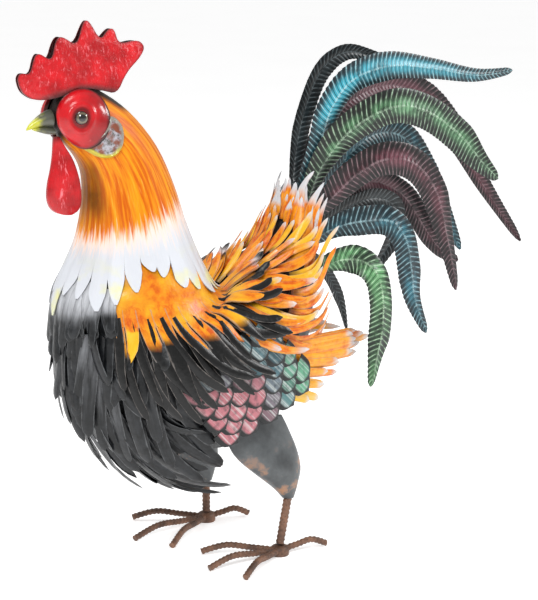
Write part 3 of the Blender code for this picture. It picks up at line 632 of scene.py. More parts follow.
def neckPaint():
    # two oranges in long streaks that break into white, with a low satin shine
    material, tree, shader, spot, (down, ringX, ringY, inside) = newMaterial(
        "neckEnamel", {"IOR": 1.45, "Coat Weight": 0.05, "Coat Roughness": 0.3,
                       "Specular IOR Level": 0.2}, ("down", "ringX", "ringY", "inside"))
    slow = addNode(tree, "ShaderNodeMath", {0: down, 1: 0.045}, operation="MULTIPLY")
    flow = addNode(tree, "ShaderNodeCombineXYZ", {"X": ringX, "Y": ringY, "Z": slow})
    streak = addNode(tree, "ShaderNodeTexNoise", {
        "Vector": flow, "Scale": 10.0, "Detail": 5.0, "Roughness": 0.62})
    fine = addNode(tree, "ShaderNodeTexNoise", {
        "Vector": flow, "Scale": 26.0, "Detail": 3.0, "Roughness": 0.6})
    patch = addNode(tree, "ShaderNodeTexNoise", {"Vector": spot, "Scale": 45.0, "Detail": 4.0})
    orange = addNode(tree, "ShaderNodeMapRange", {
        "Value": streak, "From Min": 0.40, "From Max": 0.60})
    base = addNode(tree, "ShaderNodeMix", {
        0: orange, 6: hexToLinear("#C85B06"), 7: hexToLinear("#EA9412")}, data_type="RGBA")
    lightMask = addNode(tree, "ShaderNodeMapRange", {
        "Value": fine, "From Min": 0.56, "From Max": 0.74, "To Max": 0.5})
    light = addNode(tree, "ShaderNodeMix", {
        0: lightMask, 6: base, 7: hexToLinear("#F3B64A")}, data_type="RGBA")
    # airbrushed white band with a ragged pinkish edge
    ragged = addNode(tree, "ShaderNodeMath", {0: fine, 1: 1.5, 2: -0.75}, operation="MULTIPLY_ADD")
    front = addNode(tree, "ShaderNodeMath", {0: ringX, 1: -0.12}, operation="MULTIPLY")
    edge = addNode(tree, "ShaderNodeMath", {0: down, 1: ragged}, operation="ADD")
    edge = addNode(tree, "ShaderNodeMath", {0: edge, 1: front}, operation="ADD")
    pinkMask = addNode(tree, "ShaderNodeMapRange", {
        "Value": edge, "From Min": 6.2, "From Max": 6.75}, interpolation_type="SMOOTHSTEP")
    whiteMask = addNode(tree, "ShaderNodeMapRange", {
        "Value": edge, "From Min": 6.45, "From Max": 7.25}, interpolation_type="SMOOTHSTEP")
    pink = addNode(tree, "ShaderNodeMix", {
        0: pinkMask, 6: light, 7: hexToLinear("#F6D9C8")}, data_type="RGBA")
    white = addNode(tree, "ShaderNodeMix", {
        0: whiteMask, 6: pink, 7: hexToLinear("#CDD0D6")}, data_type="RGBA")
    # lemon touches at the hem
    lemonNoise = addNode(tree, "ShaderNodeMapRange", {
        "Value": patch, "From Min": 0.5, "From Max": 0.64, "To Max": 0.7})
    lemonDown = addNode(tree, "ShaderNodeMapRange", {
        "Value": down, "From Min": 7.2, "From Max": 8.4})
    lemonMask = addNode(tree, "ShaderNodeMath", {0: lemonNoise, 1: lemonDown}, operation="MULTIPLY")
    lemon = addNode(tree, "ShaderNodeMix", {
        0: lemonMask, 6: white, 7: hexToLinear("#DEDB86")}, data_type="RGBA")
    # brown down the front of the throat, behind the wattle, in patches
    throat = addNode(tree, "ShaderNodeMapRange", {
        "Value": ringX, "From Min": 0.70, "From Max": 0.93}, interpolation_type="SMOOTHSTEP")
    throatTop = addNode(tree, "ShaderNodeMapRange", {
        "Value": down, "From Min": 2.2, "From Max": 4.4}, interpolation_type="SMOOTHSTEP")
    throatEnd = addNode(tree, "ShaderNodeMapRange", {
        "Value": down, "From Min": 6.6, "From Max": 5.4}, interpolation_type="SMOOTHSTEP")
    throatMask = addNode(tree, "ShaderNodeMath", {0: throat, 1: throatTop}, operation="MULTIPLY")
    throatMask = addNode(tree, "ShaderNodeMath", {
        0: throatMask, 1: throatEnd}, operation="MULTIPLY")
    uneven = addNode(tree, "ShaderNodeMapRange", {
        "Value": patch, "From Min": 0.3, "From Max": 0.62, "To Min": 0.45, "To Max": 0.95})
    throatMask = addNode(tree, "ShaderNodeMath", {0: throatMask, 1: uneven}, operation="MULTIPLY")
    brown = addNode(tree, "ShaderNodeMix", {
        0: throatMask, 6: lemon, 7: hexToLinear("#6E3F0E")}, data_type="RGBA")
    # near-black on the crown where the comb stands, a painted shadow of the comb's base, and
    # near-black paint round the root of the beak
    parts = addNode(tree, "ShaderNodeSeparateXYZ", {0: spot}).outputs
    aside = addNode(tree, "ShaderNodeMath", {0: parts["X"]}, operation="ABSOLUTE")
    crown = addNode(tree, "ShaderNodeMapRange", {
        "Value": aside, "From Min": 0.017, "From Max": 0.010}, interpolation_type="SMOOTHSTEP")
    high = addNode(tree, "ShaderNodeMapRange", {
        "Value": parts["Z"], "From Min": 0.394, "From Max": 0.402}, interpolation_type="SMOOTHSTEP")
    combBaseShadow = addNode(tree, "ShaderNodeMath", {0: crown, 1: high}, operation="MULTIPLY")
    snout = addNode(tree, "ShaderNodeMapRange", {
        "Value": parts["Y"], "From Min": -0.253, "From Max": -0.261},
        interpolation_type="SMOOTHSTEP")
    aloft = addNode(tree, "ShaderNodeMapRange", {
        "Value": parts["Z"], "From Min": 0.360, "From Max": 0.372}, interpolation_type="SMOOTHSTEP")
    snout = addNode(tree, "ShaderNodeMath", {0: snout, 1: aloft}, operation="MULTIPLY")
    sootAndCombShadow = addNode(tree, "ShaderNodeMath", {0: combBaseShadow, 1: snout}, operation="MAXIMUM")
    sootedAndCombShaded = addNode(tree, "ShaderNodeMix", {
        0: sootAndCombShadow, 6: brown, 7: hexToLinear("#231A16")}, data_type="RGBA")
    hollow = addNode(tree, "ShaderNodeMix", {
        0: inside, 6: sootedAndCombShaded, 7: hexToLinear("#3A3836")}, data_type="RGBA")
    coverSurface(tree, shader, hollow, streak, (0.28, 0.46), (fine, 0.35, 0.0008))
    return material


neckEnamel = neckPaint()
piece = meshPiece("neckAndHead", neckPoints, neckFaces, neckFlow, 60)
finishPiece(piece, neckEnamel, ["neck_and_head"])


# Shoulders: an orange plate slit into strips that darken to their tips, over darker strips.
shoulderPlan = {
    "strips": 12, "columns": 6, "closed": False, "wall": 1.2, "tipRows": 18,
    "rows": [-0.45 + 0.05 * i for i in range(15)],
    "seed": 51, "under": 2.9, "yellowStrip": 1,
    "halfWidth": 4.4, "spread": 0.36, "lean": 1.8, "curl": 4.0, "twist": 24, "tip": 0.8,
    "layers": [(0.15, 0.95, -0.9, 12), (0.3, 1.12, -1.8, 13)],
    "lines": [(8.9, 47, 11.4, 41, 16), (8.9, 82, 12.5, 76, 17), (8.9, 125, 13.2, 114, 14),
              (8.9, 178, 12.4, 166, 8)],
}


def shoulderPoint(side):
    lines = shoulderPlan["lines"]

    def point(u, v, lift):
        rootT, rootTurn, tipT, tipTurn, flare = rowValue(lines, u * (len(lines) - 1))
        height = shoulderPlan["under"] + 1.2 + flare * max(0.0, v) ** 1.3 + lift
        height -= 5.0 * smooth(-0.1, -0.4, v)
        return onSkin(mix(rootT, tipT, v), side * mix(rootTurn, tipTurn, v), height)
    return point


def shoulderStrip(i):
    pick = random.Random(shoulderPlan["seed"] + i)
    reach = 0.95 + 0.3 * (pick.random() - 0.5)
    return {"reach": 0.66 if i == shoulderPlan["yellowStrip"] else reach,
            "lean": 1.3 * (pick.random() - 0.5),
            "lift": 2.5 * pick.random(), "point": 0.35, "slim": 0.5, "curve": 1.0}


def onYellow(u):
    number = shoulderPlan["yellowStrip"]
    return number / shoulderPlan["strips"] < u < (number + 1) / shoulderPlan["strips"]


def shoulderWash(u, v, luck):
    # smoke starts high in front, late behind, and spares the yellow strip at the front edge
    start = mix(0.36, 0.85, smooth(0.3, 0.8, u))
    smoke = smooth(start, start + 0.28, v + 0.3 * (luck - 0.5))
    if onYellow(u):
        smoke = 0.0
    pale = 0.8 * smooth(0.84, 1.0, v) if luck < 0.45 else 0.0
    return smoke, pale


def shoulderColour(u, v, x, luck, layer):
    smoke, pale = shoulderWash(u, v, luck)
    return {"pale": pale, "dark": min(1.0, smoke + 1.2 * smooth(0.95, 0.7, u)), "hue": 0.3 * luck}


for sideName, side in bothSides:
    outer, inner, faces, flow = cutSheet(shoulderPoint(side), shoulderPlan, shoulderStrip)
    flow.update(tone=[], pale=[], dark=[], hue=[])
    for u, v, x in zip(flow["around"], flow["down"], flow["along"]):
        stripLuck = random.Random(int(min(0.999, u) * shoulderPlan["strips"]) * 7 + 3).random()
        smoke, pale = shoulderWash(u, v, stripLuck)
        flow["tone"].append(stripLuck if x > 0 else 0.5)
        flow["pale"].append(pale * smooth(0, 0.2, x))
        flow["dark"].append(smoke * smooth(0, 0.3, x))
        gold = 0.15 + 0.9 * noise.noise(Vector((u * 7, v * 3, 5)))
        flow["hue"].append(0.75 if onYellow(u) and v > 0.3 else max(0.0, gold))
    flow["along"] = [x * 0.6 + v for x, v in zip(flow["along"], flow["down"])]
    flow["across"] = [a if x > 0 else 0.0 for a, x in zip(flow["across"], flow["along"])]
    plate = meshPiece("shoulderPlate", *closedSheet(outer, inner, faces, flow))
    plate.data.materials.append(orangeEnamel)
    lines = [(a, side * b, c, side * d, e) for a, b, c, d, e in shoulderPlan["lines"]]
    strips = bandStrips(onSkin, lines, shoulderPlan, shoulderColour)
    under = stripPiece("shoulderUnder", strips, orangeEnamel)
    piece = joinPieces("shoulderStrips" + sideName, [plate, under])
    finishPiece(piece, orangeEnamel, ["shoulder_strips_" + sideName.lower()])


# Saddle and tail coverts: orange strips with whitish ends, curling off the back.
backBands = {
    "saddleStripsFront": {
        "node": "saddle_strips_front", "seed": 21, "under": 0.8, "halfWidth": 4.3, "spread": 0.26,
        "lean": 1.0, "curl": 2.6, "twist": 16, "tip": 0.6,
        "layers": [(0.0, 0.8, 1.8, 14), (0.12, 0.95, 0.9, 15), (0.26, 1.08, 0.0, 16)],
        "lines": [(10.9, 114, 14.6, 93, 17), (10.6, 148, 15.2, 123, 12), (10.4, 180, 14.6, 180, 6),
                  (10.6, 212, 15.2, 237, 12), (10.9, 246, 14.6, 267, 17)]},
    "saddleStripsRear": {
        "node": "saddle_strips_rear", "seed": 22, "under": 0.3, "halfWidth": 4.2, "spread": 0.26,
        "lean": 0.9, "curl": 2.4, "twist": 14, "tip": 0.55,
        "layers": [(0.0, 0.8, 1.4, 15), (0.12, 0.95, 0.7, 16), (0.26, 1.08, -0.2, 17)],
        "lines": [(13.7, 108, 17.4, 70, 12), (13.5, 142, 18.3, 102, 12), (13.3, 180, 16.8, 180, 5),
                  (13.5, 218, 18.3, 258, 12), (13.7, 252, 17.4, 290, 12)]},
    "tailCoverts": {
        "node": "tail_coverts", "seed": 23, "under": 0.5, "halfWidth": 5.2, "spread": 0.3,
        "lean": 1.2, "curl": 2.0, "twist": 16, "tip": 0.3,
        "layers": [(0.0, 0.8, 1.0, 14), (0.2, 1.1, 0.0, 15)],
        "lines": [(16.2, 112, 19.0, 114, 5), (16.2, 146, 18.8, 142, 6), (16.0, 180, 17.9, 180, 4),
                  (16.2, 214, 18.8, 218, 6), (16.2, 248, 19.0, 246, 5)]},
}


def backColour(u, v, x, luck, layer):
    # whitish ends on most strips; painted shade darkens the roots under the row above
    pale = smooth(0.8, 0.97, x) if luck > 0.35 else 0.0
    return {"pale": pale, "dark": 0.6 * smooth(0.3, 0.0, x), "hue": 0.7 * smooth(0.45, 0.9, luck)}


def covertColour(u, v, x, luck, layer):
    # orange roots meeting whitish tips in a zigzag, the roots darkened with painted shade
    return {"pale": smooth(0.56, 0.74, x + 0.4 * (luck - 0.5)), "dark": 0.4 * smooth(0.2, 0.0, x),
            "hue": 0.3 * luck}


for pieceName, plan in backBands.items():
    colour = covertColour if pieceName == "tailCoverts" else backColour
    strips = bandStrips(onSkin, plan["lines"], plan, colour)
    finishPiece(stripPiece(pieceName, strips, orangeEnamel), orangeEnamel, [plan["node"]])


# Wing primaries: long flat fingers of the flank, orange with whitish rims.
primaryPlan = {
    "seed": 41, "under": -3.5, "halfWidth": 4.6, "spread": 0.14, "lean": 0.3, "curl": 1.0,
    "twist": 10, "tip": 0.75, "layers": [(0.0, 0.9, 0.8, 9), (0.05, 1.03, -0.8, 10)],
    "lines": [(12, 150, -36, 130, -2), (8, 170, -74, 157, -2), (6, 184, -120, 174, -2),
              (4, 190, -98, 185, -2)],
}


def primaryColour(u, v, x, luck, layer):
    # the lowest fingers paler and yellower; painted shade darkens the roots
    low = smooth(0.3, 0.1, u)
    return {"pale": max(0.2 * low, smooth(0.9, 1.0, x)), "dark": 0.4 * smooth(0.35, 0.0, x),
            "hue": max(0.8 * low, 0.3 * luck)}


for sideName, side in bothSides:
    strips = bandStrips(lambda a, b, lift: onFlank(a, b, side, lift), primaryPlan["lines"],
                        primaryPlan, primaryColour)
    piece = stripPiece("wingPrimaries" + sideName, strips, orangeEnamel)
    finishPiece(piece, orangeEnamel, ["wing_primaries_" + sideName.lower()])
print("strips done")


# Wing scales: domed tiles set in rows on each flank, pink below, teal in the middle, green behind.
scalePlan = {
    "length": 20, "width": 25, "wall": 1.0, "dome": 2.4, "tilt": 7, "seed": 61,
    "rows": [(0.02, 5, 6.6), (0.165, 5, 5.7), (0.31, 5, 4.8), (0.455, 5, 3.9), (0.6, 5, 3.0),
             (0.745, 5, 2.1), (0.89, 5, 1.2)],
    "front": [(110, 172), (68, 124)], "middle": [(74, 198), (16, 138)],
    "back": [(30, 216), (-27, 158)],
}


def scaleMesh():
    # one tile: rounded at its free end, domed and ribbed along, with its rim marked for the paint
    long, wide = scalePlan["length"], scalePlan["width"] / 2
    columns, rows = 8, 8
    spots = []
    faces = []
    for r in range(rows + 1):
        x = r / rows
        half = wide * (math.sqrt(max(0.0, 1 - max(0.0, (x - 0.35) / 0.65) ** 2.6)) * 0.96 + 0.04)
        for c in range(columns + 1):
            a = 2 * c / columns - 1
            rib = 0.22 * math.cos(a * math.pi * 4.5)
            bow = 0.12 * long * (1 - a * a) * smooth(0.3, 1.0, x)
            height = scalePlan["dome"] * (1 - a * a) * (0.35 + 0.65 * (1 - x ** 4)) + rib * (1 - x)
            spots.append((a * half, x * (long - 2.5) + bow, height, max(abs(a), x ** 2)))
    for r in range(rows):
        for c in range(columns):
            a = r * (columns + 1) + c
            faces.append((a, a + 1, a + columns + 2, a + columns + 1))
    outer = [Vector((x, y, z)) * mm for x, y, z, edge in spots]
    inner = [Vector((x, y, z - scalePlan["wall"])) * mm for x, y, z, edge in spots]
    rim = {"rim": [edge for x, y, z, edge in spots],
           "ribbing": [x / wide for x, y, z, edge in spots]}
    return meshPiece("scaleTile", *closedSheet(outer, inner, faces, rim))


def scaleTree():
    tree, start = newTree("wingScales", {
        "Guides": "Geometry", "Tile": "Object", "Paint": "Material"}, "Scales")
    tile = addNode(tree, "GeometryNodeObjectInfo", {"Object": start["Tile"]})
    points = addNode(tree, "GeometryNodeMeshToPoints", {"Mesh": start["Guides"]})
    turn = addNode(tree, "GeometryNodeInputNamedAttribute", {
        "Name": "turn"}, data_type="FLOAT_VECTOR")
    size = addNode(tree, "GeometryNodeInputNamedAttribute", {"Name": "size"})
    placed = addNode(tree, "GeometryNodeInstanceOnPoints", {
        "Points": points, "Instance": tile.outputs["Geometry"], "Rotation": turn, "Scale": size})
    return closeTree(tree, placed, start["Paint"])


def scalePaint():
    # soft washed enamel brushed thinly over each tile, dark solder lines left between them
    material, tree, shader, spot, (pink, green, tone, rim, ribbing) = newMaterial(
        "washedScaleEnamel", {"IOR": 1.5, "Coat Weight": 0.2, "Coat Roughness": 0.25,
                              "Specular IOR Level": 0.3},
        ("pink", "green", "tone", "rim", "ribbing"))
    wide = addNode(tree, "ShaderNodeMath", {0: ribbing, 1: 6.0}, operation="MULTIPLY")
    deep = addNode(tree, "ShaderNodeMath", {0: tone, 1: 31.0}, operation="MULTIPLY")
    flow = addNode(tree, "ShaderNodeCombineXYZ", {"X": wide, "Y": 0.3, "Z": deep})
    brush = addNode(tree, "ShaderNodeTexNoise", {"Vector": flow, "Scale": 1.4, "Detail": 4.0})
    wear = addNode(tree, "ShaderNodeTexNoise", {"Vector": spot, "Scale": 210.0, "Detail": 5.0})
    teal = addNode(tree, "ShaderNodeMix", {
        0: tone, 6: hexToLinear("#28464F"), 7: hexToLinear("#557C85")}, data_type="RGBA")
    rose = addNode(tree, "ShaderNodeMix", {
        0: pink, 6: teal, 7: hexToLinear("#B46E76")}, data_type="RGBA")
    leaf = addNode(tree, "ShaderNodeMix", {
        0: green, 6: rose, 7: hexToLinear("#5F9A7C")}, data_type="RGBA")
    lightMask = addNode(tree, "ShaderNodeMapRange", {
        "Value": brush, "From Min": 0.48, "From Max": 0.66, "To Max": 0.65})
    light = addNode(tree, "ShaderNodeMix", {
        0: lightMask, 6: leaf, 7: hexToLinear("#C9CFCC")}, data_type="RGBA")
    wornMask = addNode(tree, "ShaderNodeMapRange", {
        "Value": wear, "From Min": 0.5, "From Max": 0.72, "To Max": 0.6})
    worn = addNode(tree, "ShaderNodeMix", {
        0: wornMask, 6: light, 7: hexToLinear("#2E3334")}, data_type="RGBA")
    rimMask = addNode(tree, "ShaderNodeMapRange", {
        "Value": rim, "From Min": 0.54, "From Max": 0.70})
    lined = addNode(tree, "ShaderNodeMix", {
        0: rimMask, 6: worn, 7: hexToLinear("#161819")}, data_type="RGBA")
    coverSurface(tree, shader, lined, wear, (0.25, 0.6), (brush, 0.4, 0.0006))
    return material


def scaleSpots(side):
    pick = random.Random(scalePlan["seed"] + side)
    root = [scalePlan[key][0] for key in ("front", "middle", "back")]
    tip = [scalePlan[key][1] for key in ("front", "middle", "back")]
    spots = []
    for number, (v, count, lift) in enumerate(scalePlan["rows"]):
        for i in range(count):
            u = (i + 0.5 + 0.5 * (number % 2) - 0.25) / count
            top = rowValue(root, u * 2)
            low = rowValue(tip, u * 2)
            forward, up = mix(top[0], low[0], v), mix(top[1], low[1], v)
            here = onFlank(forward, up, side, lift)
            reach = Vector((low[0] - top[0], low[1] - top[1])).normalized()
            ahead = onFlank(forward + reach.x, up + reach.y, side, lift) - here
            away = (onFlank(forward, up + 1, side, lift) - here).cross(
                onFlank(forward + 1, up, side, lift) - here).normalized()
            if away.x * side < 0:
                away = -away
            yAxis = ahead.normalized()
            xAxis = yAxis.cross(away).normalized()
            yAxis = (yAxis + away * math.tan(math.radians(scalePlan["tilt"]))).normalized()
            zAxis = xAxis.cross(yAxis).normalized()
            turn = Matrix((xAxis, yAxis, zAxis)).transposed().to_euler()
            pink = smooth(186, 168, up) * smooth(20, 38, forward)
            green = smooth(12, -6, forward - 0.2 * (up - 150)) * (1 - pink)
            spots.append({"spot": here, "turn": turn, "size": 0.92 + 0.16 * pick.random(),
                          "pink": pink, "green": green, "tone": pick.random()})
    return spots


tile = scaleMesh()
growScales = scaleTree()
washedScale = scalePaint()
for sideName, side in bothSides:
    guide = guideObject("scales", [[spot] for spot in scaleSpots(side)])
    piece = growPiece("wingScales" + sideName, guide, growScales,
                      {"Tile": tile, "Paint": washedScale})
    low = sideName.lower()
    finishPiece(piece, washedScale, ["wing_scales_upper_" + low, "wing_scales_middle_" + low,
                                     "wing_scales_lower_" + low])
bpy.data.objects.remove(tile)
print("wings done")


# Tail: eleven curved blades, pressed with slanted ribs, each in its own paint. Each has its
# place along the tail root, how far left it starts, its width, its paint and its path as
# (forward, left, up), in mm.
tailPlan = {
    "tail_feather_far_crown": (0.95, -4, 18, "slate", [
        (-70, -12, 347), (-84, -18, 381), (-105, -22, 415), (-132, -22, 431), (-164, -22, 427),
        (-198, -22, 416)]),
    "tail_feather_crown": (0.95, 4, 25, "cyan", [
        (-74, 12, 354), (-84, 17, 388), (-107, 20, 412), (-150, 20, 421), (-200, 20, 416),
        (-255, 20, 407), (-302, 20, 409)]),
    "tail_feather_far_outer": (0.88, -11, 27, "maroon", [
        (-84, -16, 330), (-112, -22, 363), (-150, -28, 387), (-197, -36, 396), (-242, -36, 383),
        (-281, -36, 346), (-322, -36, 290), (-375, -36, 227)]),
    "tail_feather_outer": (0.88, 9, 29, "green", [
        (-76, 13, 335), (-98, 26, 367), (-138, 36, 386), (-179, 36, 379), (-219, 36, 355),
        (-248, 36, 328), (-272, 36, 309)]),
    "tail_feather_far_middle": (0.79, -8, 25, "teal", [
        (-104, -10, 314), (-133, -8, 342), (-166, -12, 355), (-200, -15, 348),
        (-227, -18, 318), (-253, -18, 274), (-276, -18, 232)]),
    "tail_feather_middle": (0.8, 13, 28, "maroon", [
        (-84, 17, 306), (-104, 26, 326), (-131, 34, 339), (-163, 38, 333), (-189, 38, 306),
        (-204, 38, 264), (-220, 38, 208)]),
    "tail_feather_far_inner": (0.72, -17, 23, "maroon", [
        (-108, -20, 297), (-149, -30, 307), (-190, -38, 303), (-224, -41, 286),
        (-248, -41, 256), (-270, -41, 230), (-294, -41, 215)]),
    "tail_feather_inner": (0.68, 17, 25, "teal", [
        (-92, 20, 280), (-115, 30, 284), (-133, 42, 283), (-147, 46, 267), (-154, 46, 241),
        (-160, 46, 208), (-177, 46, 174)]),
    "tail_feather_far_lower": (0.62, -19, 18, "slate", [
        (-100, -20, 272), (-135, -20, 286), (-170, -22, 292), (-196, -24, 282),
        (-199, -25, 258), (-184, -26, 234), (-166, -26, 216)]),
    "tail_feather_lower": (0.5, 21, 24, "mint", [
        (-86, 26, 250), (-104, 36, 249), (-115, 46, 236), (-120, 48, 211), (-119, 48, 184),
        (-114, 48, 160), (-109, 48, 133)]),
    "tail_feather_far_short": (0.48, -23, 11, "slate", [
        (-84, -28, 248), (-108, -34, 238), (-130, -40, 218), (-145, -42, 192),
        (-153, -42, 163)]),
}

bladeInputs = {"Spacing": 0.0009, "Profile Points": 24, "Flatness": 0.06, "Crease": 0.15,
               "Rib Pitch": 4.8, "Rib Slant": 1.25, "Rib Height": 0.0012, "Tooth": 0.05}


def bladeTree():
    # sweeps a thin creased blade and presses slanted ribs and a toothed edge into it
    tree, start = newTree("ribbedBlade", {
        "Guides": "Geometry", "Profile Points": "Int", "Spacing": "Float", "Flatness": "Float",
        "Crease": "Float", "Rib Pitch": "Float", "Rib Slant": "Float", "Rib Height": "Float",
        "Tooth": "Float", "Paint": "Material"}, "Blade")
    curve = addNode(tree, "GeometryNodeMeshToCurve", {"Mesh": start["Guides"]})
    evened = addNode(tree, "GeometryNodeResampleCurve", {
        "Curve": curve, "Length": start["Spacing"]}, mode="LENGTH")
    parameter = addNode(tree, "GeometryNodeSplineParameter").outputs
    length = addNode(tree, "ShaderNodeMath", {
        0: parameter["Length"], 1: 1000.0}, operation="MULTIPLY")
    kept = addNode(tree, "GeometryNodeStoreNamedAttribute", {
        "Geometry": evened, "Name": "along", "Value": parameter["Factor"]})
    measured = addNode(tree, "GeometryNodeStoreNamedAttribute", {
        "Geometry": kept, "Name": "run", "Value": length})
    steps = addNode(tree, "ShaderNodeMath", {0: length, 1: start["Rib Pitch"]}, operation="DIVIDE")
    saw = addNode(tree, "ShaderNodeMath", {0: steps}, operation="FRACT")
    tooth = addNode(tree, "ShaderNodeMath", {0: saw, 1: start["Tooth"]}, operation="MULTIPLY")
    bite = addNode(tree, "ShaderNodeMath", {0: 1.0, 1: tooth}, operation="SUBTRACT")
    width = addNode(tree, "GeometryNodeInputNamedAttribute", {"Name": "halfWidth"})
    reach = addNode(tree, "ShaderNodeMath", {0: width, 1: bite}, operation="MULTIPLY")
    swept = sweepProfile(tree, measured, creasedProfile(tree, start), reach)
    # ribs run outwards and towards the tip from the middle vein
    across = addNode(tree, "GeometryNodeInputNamedAttribute", {"Name": "across"})
    run = addNode(tree, "GeometryNodeInputNamedAttribute", {"Name": "run"})
    side = addNode(tree, "ShaderNodeMath", {0: across}, operation="ABSOLUTE")
    slant = addNode(tree, "ShaderNodeMath", {0: side, 1: start["Rib Slant"]}, operation="MULTIPLY")
    count = addNode(tree, "ShaderNodeMath", {0: run, 1: start["Rib Pitch"]}, operation="DIVIDE")
    phase = addNode(tree, "ShaderNodeMath", {0: count, 1: slant}, operation="SUBTRACT")
    wave = addNode(tree, "ShaderNodeMath", {0: phase, 1: 0.5}, operation="PINGPONG")
    middle = addNode(tree, "ShaderNodeMath", {0: 1.0, 1: side}, operation="SUBTRACT")
    vein = addNode(tree, "ShaderNodeMath", {0: middle, 1: 9.0}, operation="POWER")
    away = addNode(tree, "GeometryNodeInputNamedAttribute", {
        "Name": "outward"}, data_type="FLOAT_VECTOR")
    stand = addNode(tree, "ShaderNodeMath", {0: wave, 1: vein}, operation="ADD")
    push = addNode(tree, "ShaderNodeMath", {0: stand, 1: start["Rib Height"]}, operation="MULTIPLY")
    shift = addNode(tree, "ShaderNodeVectorMath", {0: away, "Scale": push}, operation="SCALE")
    pressed = addNode(tree, "GeometryNodeSetPosition", {"Geometry": swept, "Offset": shift})
    shaded = addNode(tree, "GeometryNodeSetShadeSmooth", {"Geometry": pressed})
    return closeTree(tree, shaded, start["Paint"])


# Deep ground, glaze over it, light tone of the ribs (rubbed paint and painted highlight), how far
# the glaze reaches out from the vein and where along the blade it starts to thin.
tailPaints = {
    "cyan": ("#1B2B32", "#3A9DB0", "#A9D3DA", 0.6, 0.55),
    "green": ("#1A1F1B", "#5F9468", "#A9C6A9", 0.45, 0.55),
    "maroon": ("#1A1617", "#63343F", "#8E7479", 0.5, 0.55),
    "teal": ("#1A262C", "#3A8294", "#97BBC3", 0.6, 0.55),
    "slate": ("#121416", "#2A3235", "#70797C", 0.6, 0.55),
    "mint": ("#1D241F", "#78BE7E", "#B7D9B4", 0.8, 0.15),
}


def tailPaint(name):
    # enamel rubbed back so that the ribs catch a lighter tone, with a painted highlight too, colour
    # thickest along the vein
    deep, glaze, light, extent, thins = tailPaints[name]
    material, tree, shader, spot, (run, across, along) = newMaterial(
        name + "TailEnamel", softGloss, ("run", "across", "along"))
    cloud = addNode(tree, "ShaderNodeTexNoise", {
        "Vector": spot, "Scale": 22.0, "Detail": 5.0, "Roughness": 0.65})
    wear = addNode(tree, "ShaderNodeTexNoise", {"Vector": spot, "Scale": 170.0, "Detail": 4.0})
    size = addNode(tree, "ShaderNodeMath", {0: across}, operation="ABSOLUTE")
    slant = addNode(tree, "ShaderNodeMath", {
        0: size, 1: bladeInputs["Rib Slant"]}, operation="MULTIPLY")
    steps = addNode(tree, "ShaderNodeMath", {
        0: run, 1: bladeInputs["Rib Pitch"]}, operation="DIVIDE")
    phase = addNode(tree, "ShaderNodeMath", {0: steps, 1: slant}, operation="SUBTRACT")
    rib = addNode(tree, "ShaderNodeMath", {0: phase, 1: 0.5}, operation="PINGPONG")
    # glaze patches, thinner towards the edges and the tip
    reach = addNode(tree, "ShaderNodeMapRange", {
        "Value": size, "From Min": extent + 0.25, "From Max": extent - 0.35},
        interpolation_type="SMOOTHSTEP")
    patch = addNode(tree, "ShaderNodeMapRange", {
        "Value": cloud, "From Min": 0.44, "From Max": 0.58, "To Min": 0.08, "To Max": 1.0})
    fade = addNode(tree, "ShaderNodeMapRange", {
        "Value": along, "From Min": thins + 0.45, "From Max": thins, "To Min": 0.3, "To Max": 1.0})
    glazed = addNode(tree, "ShaderNodeMath", {0: reach, 1: patch}, operation="MULTIPLY")
    glazed = addNode(tree, "ShaderNodeMath", {0: glazed, 1: fade}, operation="MULTIPLY")
    base = addNode(tree, "ShaderNodeMix", {
        0: glazed, 6: hexToLinear(deep), 7: hexToLinear(glaze)}, data_type="RGBA")
    # a thin light line on each rib and on the vein, rubbed paint and painted highlight; painted
    # shade, black, in the grooves
    crest = addNode(tree, "ShaderNodeMapRange", {"Value": rib, "From Min": 0.36, "From Max": 0.44})
    vein = addNode(tree, "ShaderNodeMapRange", {"Value": size, "From Min": 0.09, "From Max": 0.04})
    rubbed = addNode(tree, "ShaderNodeMath", {0: crest, 1: vein}, operation="MAXIMUM")
    patchy = addNode(tree, "ShaderNodeMapRange", {
        "Value": wear, "From Min": 0.38, "From Max": 0.62, "To Min": 0.1, "To Max": 0.75})
    rubbedAndHighlightMask = addNode(tree, "ShaderNodeMath", {0: rubbed, 1: patchy}, operation="MULTIPLY")
    lit = addNode(tree, "ShaderNodeMix", {
        0: rubbedAndHighlightMask, 6: base, 7: hexToLinear(light)}, data_type="RGBA")
    grooveShade = addNode(tree, "ShaderNodeMapRange", {
        "Value": rib, "From Min": 0.12, "From Max": 0.03, "To Max": 0.8})
    lined = addNode(tree, "ShaderNodeMix", {
        0: grooveShade, 6: lit, 7: hexToLinear("#0E1011")}, data_type="RGBA")
    rootMask = addNode(tree, "ShaderNodeMapRange", {
        "Value": along, "From Min": 0.12, "From Max": 0.0, "To Max": 0.6})
    rooted = addNode(tree, "ShaderNodeMix", {
        0: rootMask, 6: lined, 7: hexToLinear("#34383A")}, data_type="RGBA")
    coverSurface(tree, shader, rooted, wear, (0.26, 0.5))
    return material


def pathWay(path, t):
    # direction of a path, at row number t
    ahead = Vector(rowValue(path, min(len(path) - 1, t + 0.05)))
    return ahead - Vector(rowValue(path, max(0, t - 0.05)))


